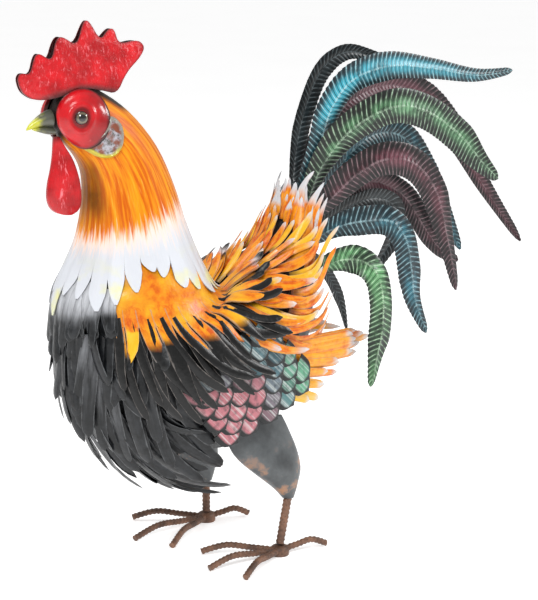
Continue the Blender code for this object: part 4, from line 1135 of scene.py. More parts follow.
def bladeGuide(share, left, width, route, taper):
    frontS, frontZ, backS, backZ, half = rowValue(skinRows, 18)
    root = place(mix(frontS, backS, share), left, mix(frontZ, backZ, share))
    slope = place(backS, 0, backZ) - place(frontS, 0, frontZ)
    out = slope.cross(Vector((1, 0, 0))).normalized()
    tilt = abs((place(*route[0]) - root).normalized().dot(slope.normalized()))
    path = [tuple(root + out * (1.0 + width * 0.25 * tilt) * mm)]
    path += [tuple(place(*p)) for p in route]
    last = len(path) - 1
    points = []
    for i in range(61):
        x = i / 60
        here = Vector(rowValue(path, x * last))
        run = pathWay(path, x * last)
        across = run.normalized().cross(Vector((1, 0, 0))).normalized()
        outward = across.cross(run).normalized()
        if outward.x * left < 0:
            outward = -outward
        swell = min(1.0, 0.45 + 2.4 * x, 0.22 + taper * (1 - x))
        swell *= math.sqrt(min(1.0, 0.1 + (1 - x) / 0.03))
        points.append({"spot": here, "outward": outward,
                       "halfWidth": 1.12 * width * swell / 2 * mm})
    return points


growBlade = bladeTree()
bladePaints = {name: tailPaint(name) for name in tailPaints}
for nodeName, (share, left, width, paintName, route) in tailPlan.items():
    words = nodeName.split("_")
    pieceName = words[0] + "".join(word.capitalize() for word in words[1:])
    taper = 1.7 if "crown" in nodeName else 3.2
    guide = guideObject(pieceName, [bladeGuide(share, left, width, route, taper)])
    paint = bladePaints[paintName]
    piece = growPiece(pieceName, guide, growBlade, dict(bladeInputs, Paint=paint))
    finishPiece(piece, paint, [nodeName])
print("tail done")


# Red head pieces share one enamel: gloss red with pinkish specks, rubbed paint with painted
# highlights, and dark painted shade.
def redPaint(name, specks):
    # the specks are drawn out along the height, as brush and hammer left them
    material, tree, shader, spot, (smoke, inside, fleck) = newMaterial(
        name, {"IOR": 1.5, "Coat Weight": 0.35, "Coat Roughness": 0.1, "Specular IOR Level": 0.35},
        ("smoke", "inside", "fleck"))
    cloud = addNode(tree, "ShaderNodeTexNoise", {"Vector": spot, "Scale": 60.0, "Detail": 3.0})
    shift = addNode(tree, "ShaderNodeMapRange", {
        "Value": cloud, "From Min": 0.35, "From Max": 0.65})
    base = addNode(tree, "ShaderNodeMix", {
        0: shift, 6: hexToLinear("#A50811"), 7: hexToLinear("#D20E1A")}, data_type="RGBA")
    drawn = addNode(tree, "ShaderNodeVectorMath", {
        0: spot, 1: specks["stretch"]}, operation="MULTIPLY")
    grain = addNode(tree, "ShaderNodeTexNoise", {
        "Vector": drawn, "Scale": specks["scale"], "Detail": 4.0, "Roughness": 0.65,
        "Distortion": specks["twist"]})
    speck = addNode(tree, "ShaderNodeMapRange", {
        "Value": grain, "From Min": specks["from"], "From Max": specks["to"]})
    # pink specks: rubbed paint with painted highlights on the hammered ridges
    speckAndGlintMask = addNode(tree, "ShaderNodeMath", {0: speck, 1: fleck}, operation="MULTIPLY")
    fleckedAndGlinting = addNode(tree, "ShaderNodeMix", {
        0: speckAndGlintMask, 6: base, 7: hexToLinear("#EA7A82")}, data_type="RGBA")
    # painted shade, placed by each piece's smoke marks
    smokedAndShaded = addNode(tree, "ShaderNodeMix", {
        0: smoke, 6: fleckedAndGlinting, 7: hexToLinear("#2A0C0E")}, data_type="RGBA")
    hollow = addNode(tree, "ShaderNodeMix", {
        0: inside, 6: smokedAndShaded, 7: hexToLinear("#3A090C")}, data_type="RGBA")
    coverSurface(tree, shader, hollow, cloud, (0.16, 0.34), (grain, specks["bump"], 0.0008))
    return material


combRed = redPaint("combRedEnamel", {"scale": 420.0, "stretch": (1.0, 1.0, 0.4), "twist": 0.2,
                                     "from": 0.57, "to": 0.72, "bump": 0.9})
faceRed = redPaint("faceRedEnamel", {"scale": 90.0, "stretch": (1.0, 1.0, 1.0), "twist": 1.5,
                                     "from": 0.64, "to": 0.98, "bump": 0.25})
wattleRed = redPaint("wattleRedEnamel", {"scale": 300.0, "stretch": (1.0, 1.0, 0.3), "twist": 0.6,
                                         "from": 0.54, "to": 0.66, "bump": 0.9})

# Comb: two flat cut sheets leaning together, outline in mm (forward, up).
combPlan = {
    "outline": [
        (199, 409), (208, 411), (216, 417), (219, 427), (216, 432), (207, 430), (203, 444),
        (199, 447), (189, 440), (184, 456), (179, 460), (165, 451), (157, 471), (152, 471),
        (143, 454.5), (134, 464), (129, 463.5), (126, 451), (107, 454), (101, 448), (106, 440),
        (121, 428), (132, 411), (147, 415), (160, 417.5), (174, 415), (187, 411)],
    "grid": 1.6, "wall": 1.0, "pillow": 0.7, "corner": 0.22,
}


def softOutline(points, share, rounds=2):
    for _ in range(rounds):
        cut = []
        for a, b in zip(points, points[1:] + points[:1]):
            a, b = Vector(a), Vector(b)
            cut += [a.lerp(b, share), b.lerp(a, share)]
        points = cut
    return [Vector(p) for p in points]


def filledOutline(outline, grid):
    # even points inside a closed outline, triangulated, each with its distance from the edge
    edge = []
    for a, b in zip(outline, outline[1:] + outline[:1]):
        steps = max(1, round((b - a).length / grid))
        edge += [a.lerp(b, k / steps) for k in range(steps)]
    count = len(edge)
    inner = []
    row = 0
    y = min(p.y for p in edge) + grid / 2
    while y < max(p.y for p in edge):
        x = min(p.x for p in edge) + (grid / 2 if row % 2 else 0)
        while x < max(p.x for p in edge):
            inner.append(Vector((x, y)))
            x += grid
        y += grid * 0.866
        row += 1

    def gap(p):
        return min((p - geometry.intersect_point_line(p, a, b)[0]).length
                   if 0 <= geometry.intersect_point_line(p, a, b)[1] <= 1
                   else min((p - a).length, (p - b).length)
                   for a, b in zip(edge, edge[1:] + edge[:1]))
    inner = [p for p in inner if gap(p) > grid * 0.6]
    loop = list(range(count))
    points, _, faces, _, _, _ = geometry.delaunay_2d_cdt(edge + inner, [], [loop], 1, 0.0001)
    return points, [tuple(face) for face in faces], [gap(p) for p in points]


combSpots, combFaces, combGaps = filledOutline(softOutline(combPlan["outline"], combPlan["corner"]),
                                               combPlan["grid"])
for sideName, side in bothSides:
    outer = []
    inner = []
    fleck = []
    smoke = []
    for p, gap in zip(combSpots, combGaps):
        lean = mix(mix(9.5, 1.3, smooth(180, 208, p.x)), 0.6, (p.y - 410) / 61)
        dent = 0.35 * noise.noise(Vector((p.x * 0.3, p.y * 0.3, side * 5)))
        puff = combPlan["pillow"] * smooth(0, 5, gap) + dent * smooth(0, 2, gap)
        outer.append(place(p.x, side * (lean + combPlan["wall"] + puff), p.y))
        inner.append(place(p.x, side * (lean + puff), p.y))
        # painted shade, darker low down where the comb meets the head and along its edges; pink
        # specks above are rubbed paint with painted highlights
        base = 416.5 - 0.006 * (p.x - 160) ** 2
        smoke.append(max(0.92 * smooth(base + 7, base - 1, p.y), 0.6 * smooth(0.9, 0.2, gap)))
        fleck.append(0.9 * smooth(base + 4, base + 14, p.y))
    piece = meshPiece("comb" + sideName, *closedSheet(outer, inner, combFaces,
                                                      {"smoke": smoke, "fleck": fleck}), 40)
    finishPiece(piece, combRed, ["comb_" + sideName.lower()])

# Face: a domed disc round each eye, with a raised ring and a rolled edge.
facePlan = {"middle": (1.62, 94), "reach": (1.62, 60), "height": 5.2, "ring": 0.40,
            "ringHeight": 1.5, "rings": 22, "columns": 48, "wall": 1.2, "clear": 1.0}


def facePoint(radius, angle, side, lift):
    t = facePlan["middle"][0] + radius * math.cos(angle) * facePlan["reach"][0]
    turn = facePlan["middle"][1] + radius * math.sin(angle) * facePlan["reach"][1]
    return onSkin(t, side * turn, lift)


def faceHeight(radius):
    dome = facePlan["height"] * (1 - radius ** 2.6) ** 0.75
    ring = facePlan["ringHeight"] * math.exp(-((radius - facePlan["ring"]) / 0.07) ** 2)
    dish = 0.9 * math.exp(-(radius / 0.22) ** 2)
    rolled = 0.8 * math.exp(-((radius - 0.96) / 0.035) ** 2)
    return dome + ring - dish + rolled


for sideName, side in bothSides:
    spots = [(0.0, 0.0)]
    rings, columns, clear = facePlan["rings"], facePlan["columns"], facePlan["clear"]
    for r in range(1, rings + 1):
        spots += [(r / rings, 2 * math.pi * c / columns) for c in range(columns)]
    outer = [facePoint(r, a, side, clear + facePlan["wall"] + faceHeight(r)) for r, a in spots]
    inner = [facePoint(r, a, side, clear + faceHeight(r)) for r, a in spots]
    # painted shade, darker at the rolled edge, a little in front, and in a ring round the eye
    smoke = [min(1.0, 0.9 * smooth(0.84, 0.99, r)
                 + 0.35 * smooth(0.45, 0.9, r) * smooth(-0.2, 1.0, math.cos(a))
                 + 0.85 * math.exp(-((r - 0.24) / 0.06) ** 2)) for r, a in spots]
    # pink specks in a band inside the rim: rubbed paint with painted highlights
    fleck = [0.8 * smooth(0.3, 0.5, r) * smooth(0.95, 0.7, r) for r, a in spots]
    piece = meshPiece("face" + sideName, *closedSheet(
        outer, inner, discFaces(rings, columns), {"smoke": smoke, "fleck": fleck}))
    finishPiece(piece, faceRed, ["face_" + sideName.lower()])

# Ear lobe: a kidney-shaped dish with a rolled lip, outline in mm (forward, up).
lobePlan = {
    "outline": [(173, 373), (165, 367), (156, 361), (146, 362), (139, 371), (137, 386), (143, 394),
                (150, 396), (153, 387), (159, 380)],
    "grid": 1.3, "corner": 0.25, "lip": 2.4, "dish": 0.8, "wall": 1.0, "clear": 0.6,
}


def headSide(forward, up, side):
    # where a level line across the head meets its skin on one side
    start = place(forward, side * 120, up)
    hit = headTree.ray_cast(start, Vector((-side, 0, 0)))[0]
    return hit.x if hit else place(0, side * 22, 0).x


# worn enamel: grey and rust showing through in the dish, yellow on the lower lip
lobeEnamel, tree, shader, spot, (lemonMark, lipMark) = newMaterial(
    "wornLobeEnamel", {"Roughness": 0.4, "Coat Weight": 0.3, "IOR": 1.5}, ("lemon", "lip"))
wear = addNode(tree, "ShaderNodeTexNoise", {
    "Vector": spot, "Scale": 230.0, "Detail": 5.0, "Roughness": 0.65})
rust = addNode(tree, "ShaderNodeTexNoise", {"Vector": spot, "Scale": 150.0, "Detail": 3.0})
wearMask = addNode(tree, "ShaderNodeMapRange", {"Value": wear, "From Min": 0.42, "From Max": 0.58})
greys = addNode(tree, "ShaderNodeMix", {
    0: wearMask, 6: hexToLinear("#5B5552"), 7: hexToLinear("#A9A7AF")}, data_type="RGBA")
rustMask = addNode(tree, "ShaderNodeMapRange", {"Value": rust, "From Min": 0.46, "From Max": 0.58})
rusted = addNode(tree, "ShaderNodeMix", {
    0: rustMask, 6: greys, 7: hexToLinear("#7E4029")}, data_type="RGBA")
lipColour = addNode(tree, "ShaderNodeMix", {
    0: lemonMark, 6: hexToLinear("#8F8B80"), 7: hexToLinear("#C3B838")}, data_type="RGBA")
lipped = addNode(tree, "ShaderNodeMix", {0: lipMark, 6: rusted, 7: lipColour}, data_type="RGBA")
bump = addNode(tree, "ShaderNodeBump", {"Height": wear, "Strength": 0.4, "Distance": 0.0006})
feed(tree, shader, {"Base Color": lipped, "Normal": bump})
lobeSpots, lobeFaces, lobeGaps = filledOutline(
    softOutline(lobePlan["outline"], lobePlan["corner"]), lobePlan["grid"])
for sideName, side in bothSides:
    outer = []
    inner = []
    for p, gap in zip(lobeSpots, lobeGaps):
        base = headSide(p.x, p.y, side)
        lift = lobePlan["clear"] + lobePlan["lip"] * math.exp(-((gap - 1.6) / 1.2) ** 2)
        lift += lobePlan["dish"]
        lift += 0.35 * noise.noise(Vector((p.x * 0.5, p.y * 0.5, 3))) * smooth(3, 5, gap)
        spot = place(p.x, 0, p.y)
        outer.append(Vector((base + side * (lift + lobePlan["wall"]) * mm, spot.y, spot.z)))
        inner.append(Vector((base + side * lift * mm, spot.y, spot.z)))
    lip = [smooth(3.4, 2.2, gap) for gap in lobeGaps]
    lemon = [smooth(373, 367, p.y) for p in lobeSpots]
    piece = meshPiece("earLobe" + sideName, *closedSheet(outer, inner, lobeFaces,
                                                         {"lip": lip, "lemon": lemon}))
    finishPiece(piece, lobeEnamel, ["ear_lobe_" + sideName.lower()])

# Eyes: wet-looking glass domes with fine amber fibres, a black pupil and a dark rim.
eyePlan = {"size": 11.6, "bulge": 4.4, "sunk": 1.2, "rings": 12, "columns": 32}
eyeGlass, tree, shader, spot, (radial,) = newMaterial(
    "amberEyeGlass", {"Roughness": 0.04, "Coat Weight": 1.0, "IOR": 1.52, "Coat Roughness": 0.02},
    ["radial"])
fibre = addNode(tree, "ShaderNodeTexNoise", {"Vector": spot, "Scale": 500.0, "Detail": 3.0})
iris = addNode(tree, "ShaderNodeMix", {
    0: fibre, 6: hexToLinear("#3A3022"), 7: hexToLinear("#7C7258")}, data_type="RGBA")
pupilMask = addNode(tree, "ShaderNodeMapRange", {
    "Value": radial, "From Min": 0.54, "From Max": 0.48})
pupil = addNode(tree, "ShaderNodeMix", {
    0: pupilMask, 6: iris, 7: hexToLinear("#050505")}, data_type="RGBA")
limbMask = addNode(tree, "ShaderNodeMapRange", {
    "Value": radial, "From Min": 0.70, "From Max": 0.82})
limb = addNode(tree, "ShaderNodeMix", {
    0: limbMask, 6: pupil, 7: hexToLinear("#2A1512")}, data_type="RGBA")
feed(tree, shader, {"Base Color": limb})
for sideName, side in bothSides:
    middle = facePoint(0.0, 0.0, side, facePlan["clear"] + facePlan["wall"]
                       + facePlan["height"] - eyePlan["sunk"])
    outward = skinWay(facePlan["middle"][0], side * facePlan["middle"][1])
    level = outward.cross(Vector((0, 0, 1))).normalized()
    upward = level.cross(outward).normalized()
    points = [middle + outward * eyePlan["bulge"] * mm]
    radials = [0.0]
    rings, columns = eyePlan["rings"], eyePlan["columns"]
    for r in range(1, rings + 1):
        x = r / rings
        for c in range(columns):
            angle = 2 * math.pi * c / columns
            wide = eyePlan["size"] / 2 * math.sin(x * math.pi / 2)
            rise = eyePlan["bulge"] * math.cos(x * math.pi / 2)
            points.append(middle + (level * math.cos(angle) + upward * math.sin(angle)) * wide * mm
                          + outward * rise * mm)
            radials.append(math.sin(x * math.pi / 2))
    faces = discFaces(rings, columns)
    faces.append(tuple(range(1 + (rings - 1) * columns, 1 + rings * columns)))
    piece = meshPiece("eye" + sideName, points, faces, {"radial": radials}, 70)
    finishPiece(piece, eyeGlass, ["eye_" + sideName.lower()])

# Beak: two horn-shaped halves, rings of (forward, up, half width, half height).
beakPlan = {
    "beakUpper": {"node": "beak_upper", "rings": [
        (189, 393.5, 7.2, 7.0), (192, 393.6, 6.6, 6.5), (196, 393.0, 5.5, 5.5),
        (200, 391.9, 4.3, 4.5), (204, 390.2, 3.1, 3.5), (208, 388.2, 1.9, 2.3),
        (210.4, 386.6, 0.9, 1.1), (211.2, 385.9, 0.3, 0.4)]},
    "beakLower": {"node": "beak_lower", "rings": [
        (187.5, 383.6, 5.8, 3.3), (191, 384.0, 5.2, 3.2), (195, 384.6, 4.3, 2.9),
        (199, 385.3, 3.1, 2.3), (203, 385.8, 1.9, 1.5), (205.2, 386.0, 0.8, 0.7),
        (205.8, 386.1, 0.3, 0.3)]},
}
# horn grey at the root that turns yellow to the tip, with a clear shine
beakEnamel, tree, shader, spot, (tip,) = newMaterial(
    "beakEnamel", {"IOR": 1.5, "Coat Weight": 0.5, "Coat Roughness": 0.12}, ["along"])
smear = addNode(tree, "ShaderNodeTexNoise", {"Vector": spot, "Scale": 160.0, "Detail": 4.0})
edge = addNode(tree, "ShaderNodeMath", {0: smear, 1: 0.7, 2: -0.35}, operation="MULTIPLY_ADD")
reach = addNode(tree, "ShaderNodeMath", {0: tip, 1: edge}, operation="ADD")
mask = addNode(tree, "ShaderNodeMapRange", {
    "Value": reach, "From Min": 0.34, "From Max": 0.82}, interpolation_type="SMOOTHSTEP")
horn = addNode(tree, "ShaderNodeMix", {
    0: mask, 6: hexToLinear("#4C4E42"), 7: hexToLinear("#C4C42E")}, data_type="RGBA")
coverSurface(tree, shader, horn, smear, (0.2, 0.45))
for pieceName, plan in beakPlan.items():
    columns, rows = 28, 30
    points = []
    shares = []
    for r in range(rows):
        x = r / (rows - 1)
        forward, up, wide, high = rowValue(plan["rings"], x * (len(plan["rings"]) - 1))
        for c in range(columns):
            angle = 2 * math.pi * (c + 0.5) / columns
            ridge = 1 + 0.10 * max(0.0, -math.cos(angle)) ** 6
            points.append(place(forward, wide * math.sin(angle),
                                up - high * math.cos(angle) * ridge))
            shares.append((forward - 187) / 24)
    piece = meshPiece(pieceName, points, tubeFaces(rows, columns), {"along": shares}, 70)
    finishPiece(piece, beakEnamel, [plan["node"]])

# Wattle: one folded sheet, its lobes hanging either side of the throat. Rows of up, front
# edge and rear edge in mm.
wattlePlan = {
    "rows": [(379, 186.5, 182.5), (370, 187.4, 177.5), (360, 188.5, 171.5), (350, 190.5, 168),
             (340, 193, 165.8), (330, 194, 165.4), (322, 192, 166.5), (317, 187.5, 170),
             (314.5, 181.5, 175.5)],
    "wall": 1.2, "steps": 44, "columns": 22,
}
outer = []
inner = []
smoke = []
fleck = []
faces = []
columns = wattlePlan["columns"]
for r in range(wattlePlan["steps"]):
    x = r / (wattlePlan["steps"] - 1)
    up, front, rear = rowValue(wattlePlan["rows"], x * (len(wattlePlan["rows"]) - 1))
    spread = 2.5 + 5.0 * (382 - up) / 67
    for c in range(columns + 1):
        a = 2 * c / columns - 1
        fold = min(1.0, abs(a) * 4)
        forward = mix(front, rear, max(0.0, (abs(a) - 0.14) / 0.86))
        belly = 1.5 * math.sin(math.pi * min(1.0, abs(a))) * smooth(0.1, 0.5, x)
        left = math.copysign(mix(2.2, spread, abs(a)) * math.sin(fold * math.pi / 2) + belly, a)
        crinkle = 0.35 * noise.noise(Vector((forward * 0.35, up * 0.18, 2 * math.copysign(1, a))))
        left += math.copysign(crinkle * smooth(0.1, 0.3, abs(a)), a)
        parted = smooth(0, 0.2, abs(a))
        away = Vector((math.copysign(parted, a), -1 + parted, 0)).normalized()
        outer.append(place(forward, left, up))
        inner.append(outer[-1] - away * wattlePlan["wall"] * mm)
        # painted shade darkens the top, where the wattle hangs under the beak, and its rear edges;
        # pink specks down each side are rubbed paint with painted highlights
        smoke.append(0.75 * smooth(0.10, 0.0, x) + 0.4 * smooth(0.92, 1.0, abs(a)))
        fleck.append(smooth(0.62, 0.3, abs(abs(a) - 0.52) * 2.6) * smooth(0.02, 0.15, x)
                     * smooth(1.0, 0.85, x))
        if r and c:
            here = r * (columns + 1) + c
            faces.append((here - columns - 2, here - columns - 1, here, here - 1))
piece = meshPiece("wattle", *closedSheet(outer, inner, faces, {"smoke": smoke, "fleck": fleck}))
finishPiece(piece, wattleRed, ["wattle"])
print("head done")


# Thighs: sheet cones open to the body, grey paint worn to rust near the knee. Rings of forward,
# up, inward, half length and half breadth in mm.
thighPlan = {
    "rings": [(0, 0, 0, 5.5, 5.5), (3.5, 12, 0, 13, 9), (12, 28, 0, 24, 12), (22, 44, 1, 31, 11),
              (29, 58, 2, 33, 8), (35, 76, 3, 30, 4)],
    "rows": 34, "columns": 48, "wall": 1.2, "dent": 0.5,
}
legPlan = {
    "Left": {"side": 1, "hub": (4, 62), "knee": (-8, 58, 50),
             "toes": [(61, 22), (79, 61), (66, 97), (-42, 70)]},
    "Right": {"side": -1, "hub": (6, -51), "knee": (6, -51, 40),
              "toes": [(62, -92), (91, -41), (74, -5), (-33, -38)]},
}
# clouded dull grey, with rust spots low down
thighGrey, tree, shader, spot, (high,) = newMaterial(
    "wornGreyEnamel", {"IOR": 1.5, "Coat Weight": 0.25, "Coat Roughness": 0.3}, ["high"])
cloud = addNode(tree, "ShaderNodeTexNoise", {
    "Vector": spot, "Scale": 38.0, "Detail": 5.0, "Roughness": 0.6})
grain = addNode(tree, "ShaderNodeTexNoise", {"Vector": spot, "Scale": 320.0, "Detail": 4.0})
greyMask = addNode(tree, "ShaderNodeMapRange", {"Value": cloud, "From Min": 0.3, "From Max": 0.65})
grey = addNode(tree, "ShaderNodeMix", {
    0: greyMask, 6: hexToLinear("#2A2D2F"), 7: hexToLinear("#565A5C")}, data_type="RGBA")
rustSum = addNode(tree, "ShaderNodeMath", {0: grain, 1: 0.25, 2: cloud}, operation="MULTIPLY_ADD")
rustMask = addNode(tree, "ShaderNodeMapRange", {
    "Value": rustSum, "From Min": 0.69, "From Max": 0.80})
lowMask = addNode(tree, "ShaderNodeMapRange", {"Value": high, "From Min": 0.75, "From Max": 0.35})
rustGate = addNode(tree, "ShaderNodeMath", {0: rustMask, 1: lowMask}, operation="MULTIPLY")
rusted = addNode(tree, "ShaderNodeMix", {
    0: rustGate, 6: grey, 7: hexToLinear("#A5795A")}, data_type="RGBA")
coverSurface(tree, shader, rusted, grain, (0.3, 0.6), (cloud, 0.3, 0.001))

for sideName, plan in legPlan.items():
    rows, columns, wall = thighPlan["rows"], thighPlan["columns"], thighPlan["wall"]
    thighRings = thighPlan["rings"]
    outer = []
    inner = []
    highs = []
    faces = [tuple(range(columns))]
    knee = plan["knee"]
    for r in range(rows):
        x = r / (rows - 1)
        forward, up, inward, long, broad = rowValue(thighRings, x * (len(thighRings) - 1))
        for c in range(columns):
            angle = 2 * math.pi * c / columns
            dent = thighPlan["dent"] * noise.noise(
                Vector((math.cos(angle) * 2, math.sin(angle) * 2, up * 0.06)))
            left = knee[1] - plan["side"] * inward
            near = knee[2] + up
            outer.append(place(knee[0] + forward + math.cos(angle) * (long + dent),
                               left + math.sin(angle) * (broad + dent), near))
            inner.append(place(knee[0] + forward + math.cos(angle) * (long + dent - wall),
                               left + math.sin(angle) * (broad + dent - wall),
                               near + (wall if r == 0 else 0)))
            highs.append(x)
    for r in range(rows - 1):
        for c in range(columns):
            a, b = r * columns + c, r * columns + (c + 1) % columns
            faces.append((b, a, a + columns, b + columns))
    piece = meshPiece("thigh" + sideName, *closedSheet(outer, inner, faces, {"high": highs}), 60)
    finishPiece(piece, thighGrey, ["thigh_" + sideName.lower()])


# Legs and toes: ribbed steel bar, brown with rust. One tree presses the twisted ribs.
barInputs = {"Spacing": 0.0009, "Profile Points": 14, "Rib Pitch": 4.0, "Rib Height": 0.0008}


def barTree():
    tree, start = newTree("ribbedBar", {
        "Guides": "Geometry", "Profile Points": "Int", "Spacing": "Float", "Rib Pitch": "Float",
        "Rib Height": "Float", "Paint": "Material"}, "Bar")
    curve = addNode(tree, "GeometryNodeMeshToCurve", {"Mesh": start["Guides"]})
    evened = addNode(tree, "GeometryNodeResampleCurve", {
        "Curve": curve, "Length": start["Spacing"]}, mode="LENGTH")
    parameter = addNode(tree, "GeometryNodeSplineParameter").outputs
    length = addNode(tree, "ShaderNodeMath", {
        0: parameter["Length"], 1: 1000.0}, operation="MULTIPLY")
    measured = addNode(tree, "GeometryNodeStoreNamedAttribute", {
        "Geometry": evened, "Name": "run", "Value": length})
    width = addNode(tree, "GeometryNodeInputNamedAttribute", {"Name": "halfWidth"})
    ring = addNode(tree, "GeometryNodeCurvePrimitiveCircle", {
        "Resolution": start["Profile Points"], "Radius": 1.0})
    marked = addNode(tree, "GeometryNodeStoreNamedAttribute", {
        "Geometry": ring, "Name": "around", "Value": parameter["Factor"]})
    swept = sweepProfile(tree, measured, marked, width)
    # the ribs climb round the bar, half of each standing out and half sunk
    run = addNode(tree, "GeometryNodeInputNamedAttribute", {"Name": "run"})
    around = addNode(tree, "GeometryNodeInputNamedAttribute", {"Name": "around"})
    count = addNode(tree, "ShaderNodeMath", {0: run, 1: start["Rib Pitch"]}, operation="DIVIDE")
    phase = addNode(tree, "ShaderNodeMath", {0: count, 1: around}, operation="ADD")
    wave = addNode(tree, "ShaderNodeMath", {0: phase, 1: 0.5}, operation="PINGPONG")
    push = addNode(tree, "ShaderNodeMath", {0: wave, 1: start["Rib Height"]}, operation="MULTIPLY")
    back = addNode(tree, "ShaderNodeMath", {
        0: start["Rib Height"], 1: -0.5, 2: push}, operation="MULTIPLY_ADD")
    doubled = addNode(tree, "ShaderNodeMath", {0: back, 1: 2.0}, operation="MULTIPLY")
    normal = addNode(tree, "GeometryNodeInputNormal")
    shift = addNode(tree, "ShaderNodeVectorMath", {0: normal, "Scale": doubled}, operation="SCALE")
    pressed = addNode(tree, "GeometryNodeSetPosition", {"Geometry": swept, "Offset": shift})
    shaded = addNode(tree, "GeometryNodeSetShadeSmooth", {"Geometry": pressed})
    return closeTree(tree, shaded, start["Paint"])


# rusty brown bar: thin clouded brown paint with dark pits
rustBar, tree, shader, spot, _ = newMaterial("rustedBarPaint", {"IOR": 1.5})
cloud = addNode(tree, "ShaderNodeTexNoise", {
    "Vector": spot, "Scale": 70.0, "Detail": 5.0, "Roughness": 0.6})
grain = addNode(tree, "ShaderNodeTexNoise", {"Vector": spot, "Scale": 520.0, "Detail": 3.0})
brownMask = addNode(tree, "ShaderNodeMapRange", {
    "Value": cloud, "From Min": 0.35, "From Max": 0.65})
brown = addNode(tree, "ShaderNodeMix", {
    0: brownMask, 6: hexToLinear("#50382B"), 7: hexToLinear("#86604A")}, data_type="RGBA")
specks = addNode(tree, "ShaderNodeMapRange", {
    "Value": grain, "From Min": 0.56, "From Max": 0.72, "To Max": 0.7})
pitted = addNode(tree, "ShaderNodeMix", {
    0: specks, 6: brown, 7: hexToLinear("#3A2A22")}, data_type="RGBA")
coverSurface(tree, shader, pitted, grain, (0.4, 0.75), (grain, 0.5, 0.0004))

footPlan = {"toe": 6.2, "shank": 8.0, "arch": 6.0, "hubWidth": 17.0, "hubHeight": 8.5}


def barGuide(path, half):
    # path in metres, smoothed; the rib twist starts from the upper side
    points = []
    last = len(path) - 1
    for i in range(10 * last + 1):
        x = i / (10 * last)
        here = Vector(rowValue(path, x * last))
        run = pathWay(path, x * last)
        side = run.normalized().cross(Vector((0, 0, 1)))
        side = side.normalized() if side.length > 0.2 else Vector((1, 0, 0))
        points.append({"spot": here, "outward": side.cross(run).normalized(),
                       "halfWidth": half * mm})
    return points


def toePath(hub, tip):
    root, end = place(*hub, 0), place(*tip, 0)
    rest = footPlan["toe"] / 2 * mm
    arch = footPlan["arch"] * mm
    return [tuple(root.lerp(end, 0.02) + Vector((0, 0, rest + arch * 0.15))),
            tuple(root.lerp(end, 0.36) + Vector((0, 0, rest + arch * 0.6))),
            tuple(root.lerp(end, 0.68) + Vector((0, 0, rest + arch))),
            tuple(end + Vector((0, 0, rest)))]


def hubMesh(hub):
    # weld pad under the shank: a low boss with a rounded shoulder
    sides = 40
    points = []
    rings = [(0.0, 0.97), (0.4, 1.0), (4.5, 1.0), (6.4, 0.95), (7.6, 0.84), (8.4, 0.68),
             (8.5, 0.40)]
    for up, wide in rings:
        for i in range(sides):
            angle = 2 * math.pi * i / sides
            ahead, left = math.cos(angle), math.sin(angle)
            lump = 1 + 0.05 * noise.noise(Vector((ahead * 2, left * 2, up * 0.3)))
            reach = footPlan["hubWidth"] / 2 * wide * lump
            points.append(place(hub[0] + ahead * reach, hub[1] + left * reach, up))
    return meshPiece("hub", points, tubeFaces(len(rings), sides), {})


growBar = barTree()
for sideName, plan in legPlan.items():
    guides = [barGuide(toePath(plan["hub"], tip), footPlan["toe"] / 2) for tip in plan["toes"]]
    toes = growPiece("toes", guideObject("toes", guides), growBar, dict(barInputs, Paint=rustBar))
    hub = hubMesh(plan["hub"])
    hub.data.materials.append(rustBar)
    piece = joinPieces("foot" + sideName, [hub, toes])
    finishPiece(piece, rustBar, ["foot_" + sideName.lower()])
    hubTop = place(*plan["hub"], footPlan["hubHeight"] + 0.5)
    kneeSpot = place(*plan["knee"])
    path = [tuple(hubTop.lerp(kneeSpot, x)) for x in (0.015, 0.34, 0.67, 0.985)]
    guide = guideObject("shank", [barGuide(path, footPlan["shank"] / 2)])
    piece = growPiece("shank" + sideName, guide, growBar, dict(barInputs, Paint=rustBar))
    finishPiece(piece, rustBar, ["shank_" + sideName.lower()])

# The hidden body keeps its CAD solid, in dark primer that shows only between the strips.
primer, tree, shader, spot, _ = newMaterial("darkPrimer", {"IOR": 1.5})
cloud = addNode(tree, "ShaderNodeTexNoise", {"Vector": spot, "Scale": 60.0, "Detail": 4.0})
shade = addNode(tree, "ShaderNodeMapRange", {"Value": cloud, "From Min": 0.35, "From Max": 0.65})
dusty = addNode(tree, "ShaderNodeMix", {
    0: shade, 6: hexToLinear("#17181A"), 7: hexToLinear("#3B3E40")}, data_type="RGBA")
coverSurface(tree, shader, dusty, cloud, (0.45, 0.7))
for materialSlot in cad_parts["body_skin"].material_slots:
    materialSlot.material = primer
print("legs done")

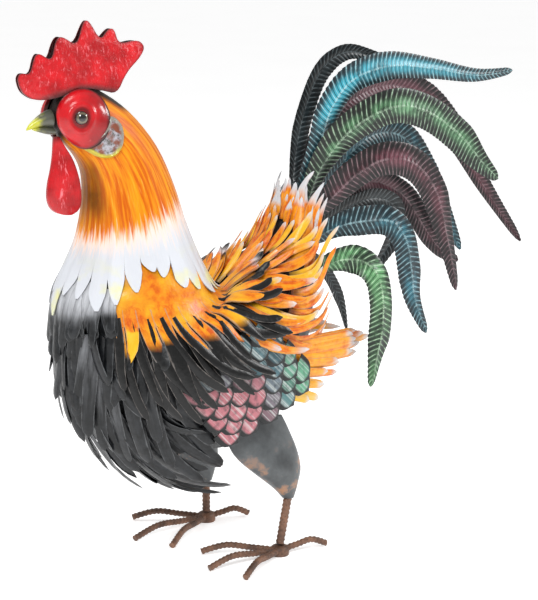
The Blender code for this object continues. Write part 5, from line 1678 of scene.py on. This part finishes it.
# Studio: a wide table of backlit white acrylic, a dimmer surround and large soft lights.
floorMesh = bpy.data.meshes.new("floor")
floorMesh.from_pydata([(-30, -30, 0), (30, -30, 0), (30, 30, 0), (-30, 30, 0)], [], [(0, 1, 2, 3)])
floor = bpy.data.objects.new("floor", floorMesh)
bpy.context.collection.objects.link(floor)
acrylic, tree, shader, spot, _ = newMaterial("backlitAcrylic", {
    "Roughness": 0.9, "Specular IOR Level": 0.2, "Emission Color": (1, 1, 1, 1),
    "Emission Strength": 0.5})
tooth = addNode(tree, "ShaderNodeTexNoise", {"Vector": spot, "Scale": 3.0})
tint = addNode(tree, "ShaderNodeMix", {
    0: tooth, 6: hexToLinear("#F4F4F4"), 7: hexToLinear("#FBFBFB")}, data_type="RGBA")
feed(tree, shader, {"Base Color": tint})
floorMesh.materials.append(acrylic)

world = bpy.data.worlds.new("studio")
world.use_nodes = True
world.node_tree.nodes["Background"].inputs["Color"].default_value = (1, 1, 1, 1)
world.node_tree.nodes["Background"].inputs["Strength"].default_value = 0.5
bpy.context.scene.world = world


def aimed(spot, aim):
    return (Vector(aim) - Vector(spot)).to_track_quat("-Z", "Y").to_euler()


lightPlan = {
    "keyLight": {"spot": (1.3, -1.3, 1.6), "watts": 24, "size": 0.6},
    "rimLight": {"spot": (0.9, 1.4, 1.2), "watts": 14, "size": 0.5},
    "topLight": {"spot": (-0.4, -0.7, 1.9), "watts": 11, "size": 0.7},
}
for name, plan in lightPlan.items():
    lamp = bpy.data.lights.new(name, "AREA")
    lamp.energy = plan["watts"]
    lamp.size = plan["size"]
    holder = bpy.data.objects.new(name, lamp)
    holder.location = plan["spot"]
    holder.rotation_euler = aimed(plan["spot"], (0, -0.03, 0.22))
    bpy.context.collection.objects.link(holder)

cameraPlan = {"spot": (1.26211, -0.96792, 0.55653), "aim": (-0.0026, -0.04905, 0.21569),
              "lens": 106.67}
lens = bpy.data.cameras.new("photoCamera")
lens.lens = cameraPlan["lens"]
lens.sensor_width = 36
lens.clip_start = 0.05
camera = bpy.data.objects.new("photoCamera", lens)
camera.location = cameraPlan["spot"]
camera.rotation_euler = aimed(cameraPlan["spot"], cameraPlan["aim"])
bpy.context.collection.objects.link(camera)
bpy.context.scene.camera = camera
bpy.context.scene.view_settings.view_transform = "Standard"

print("studio done")
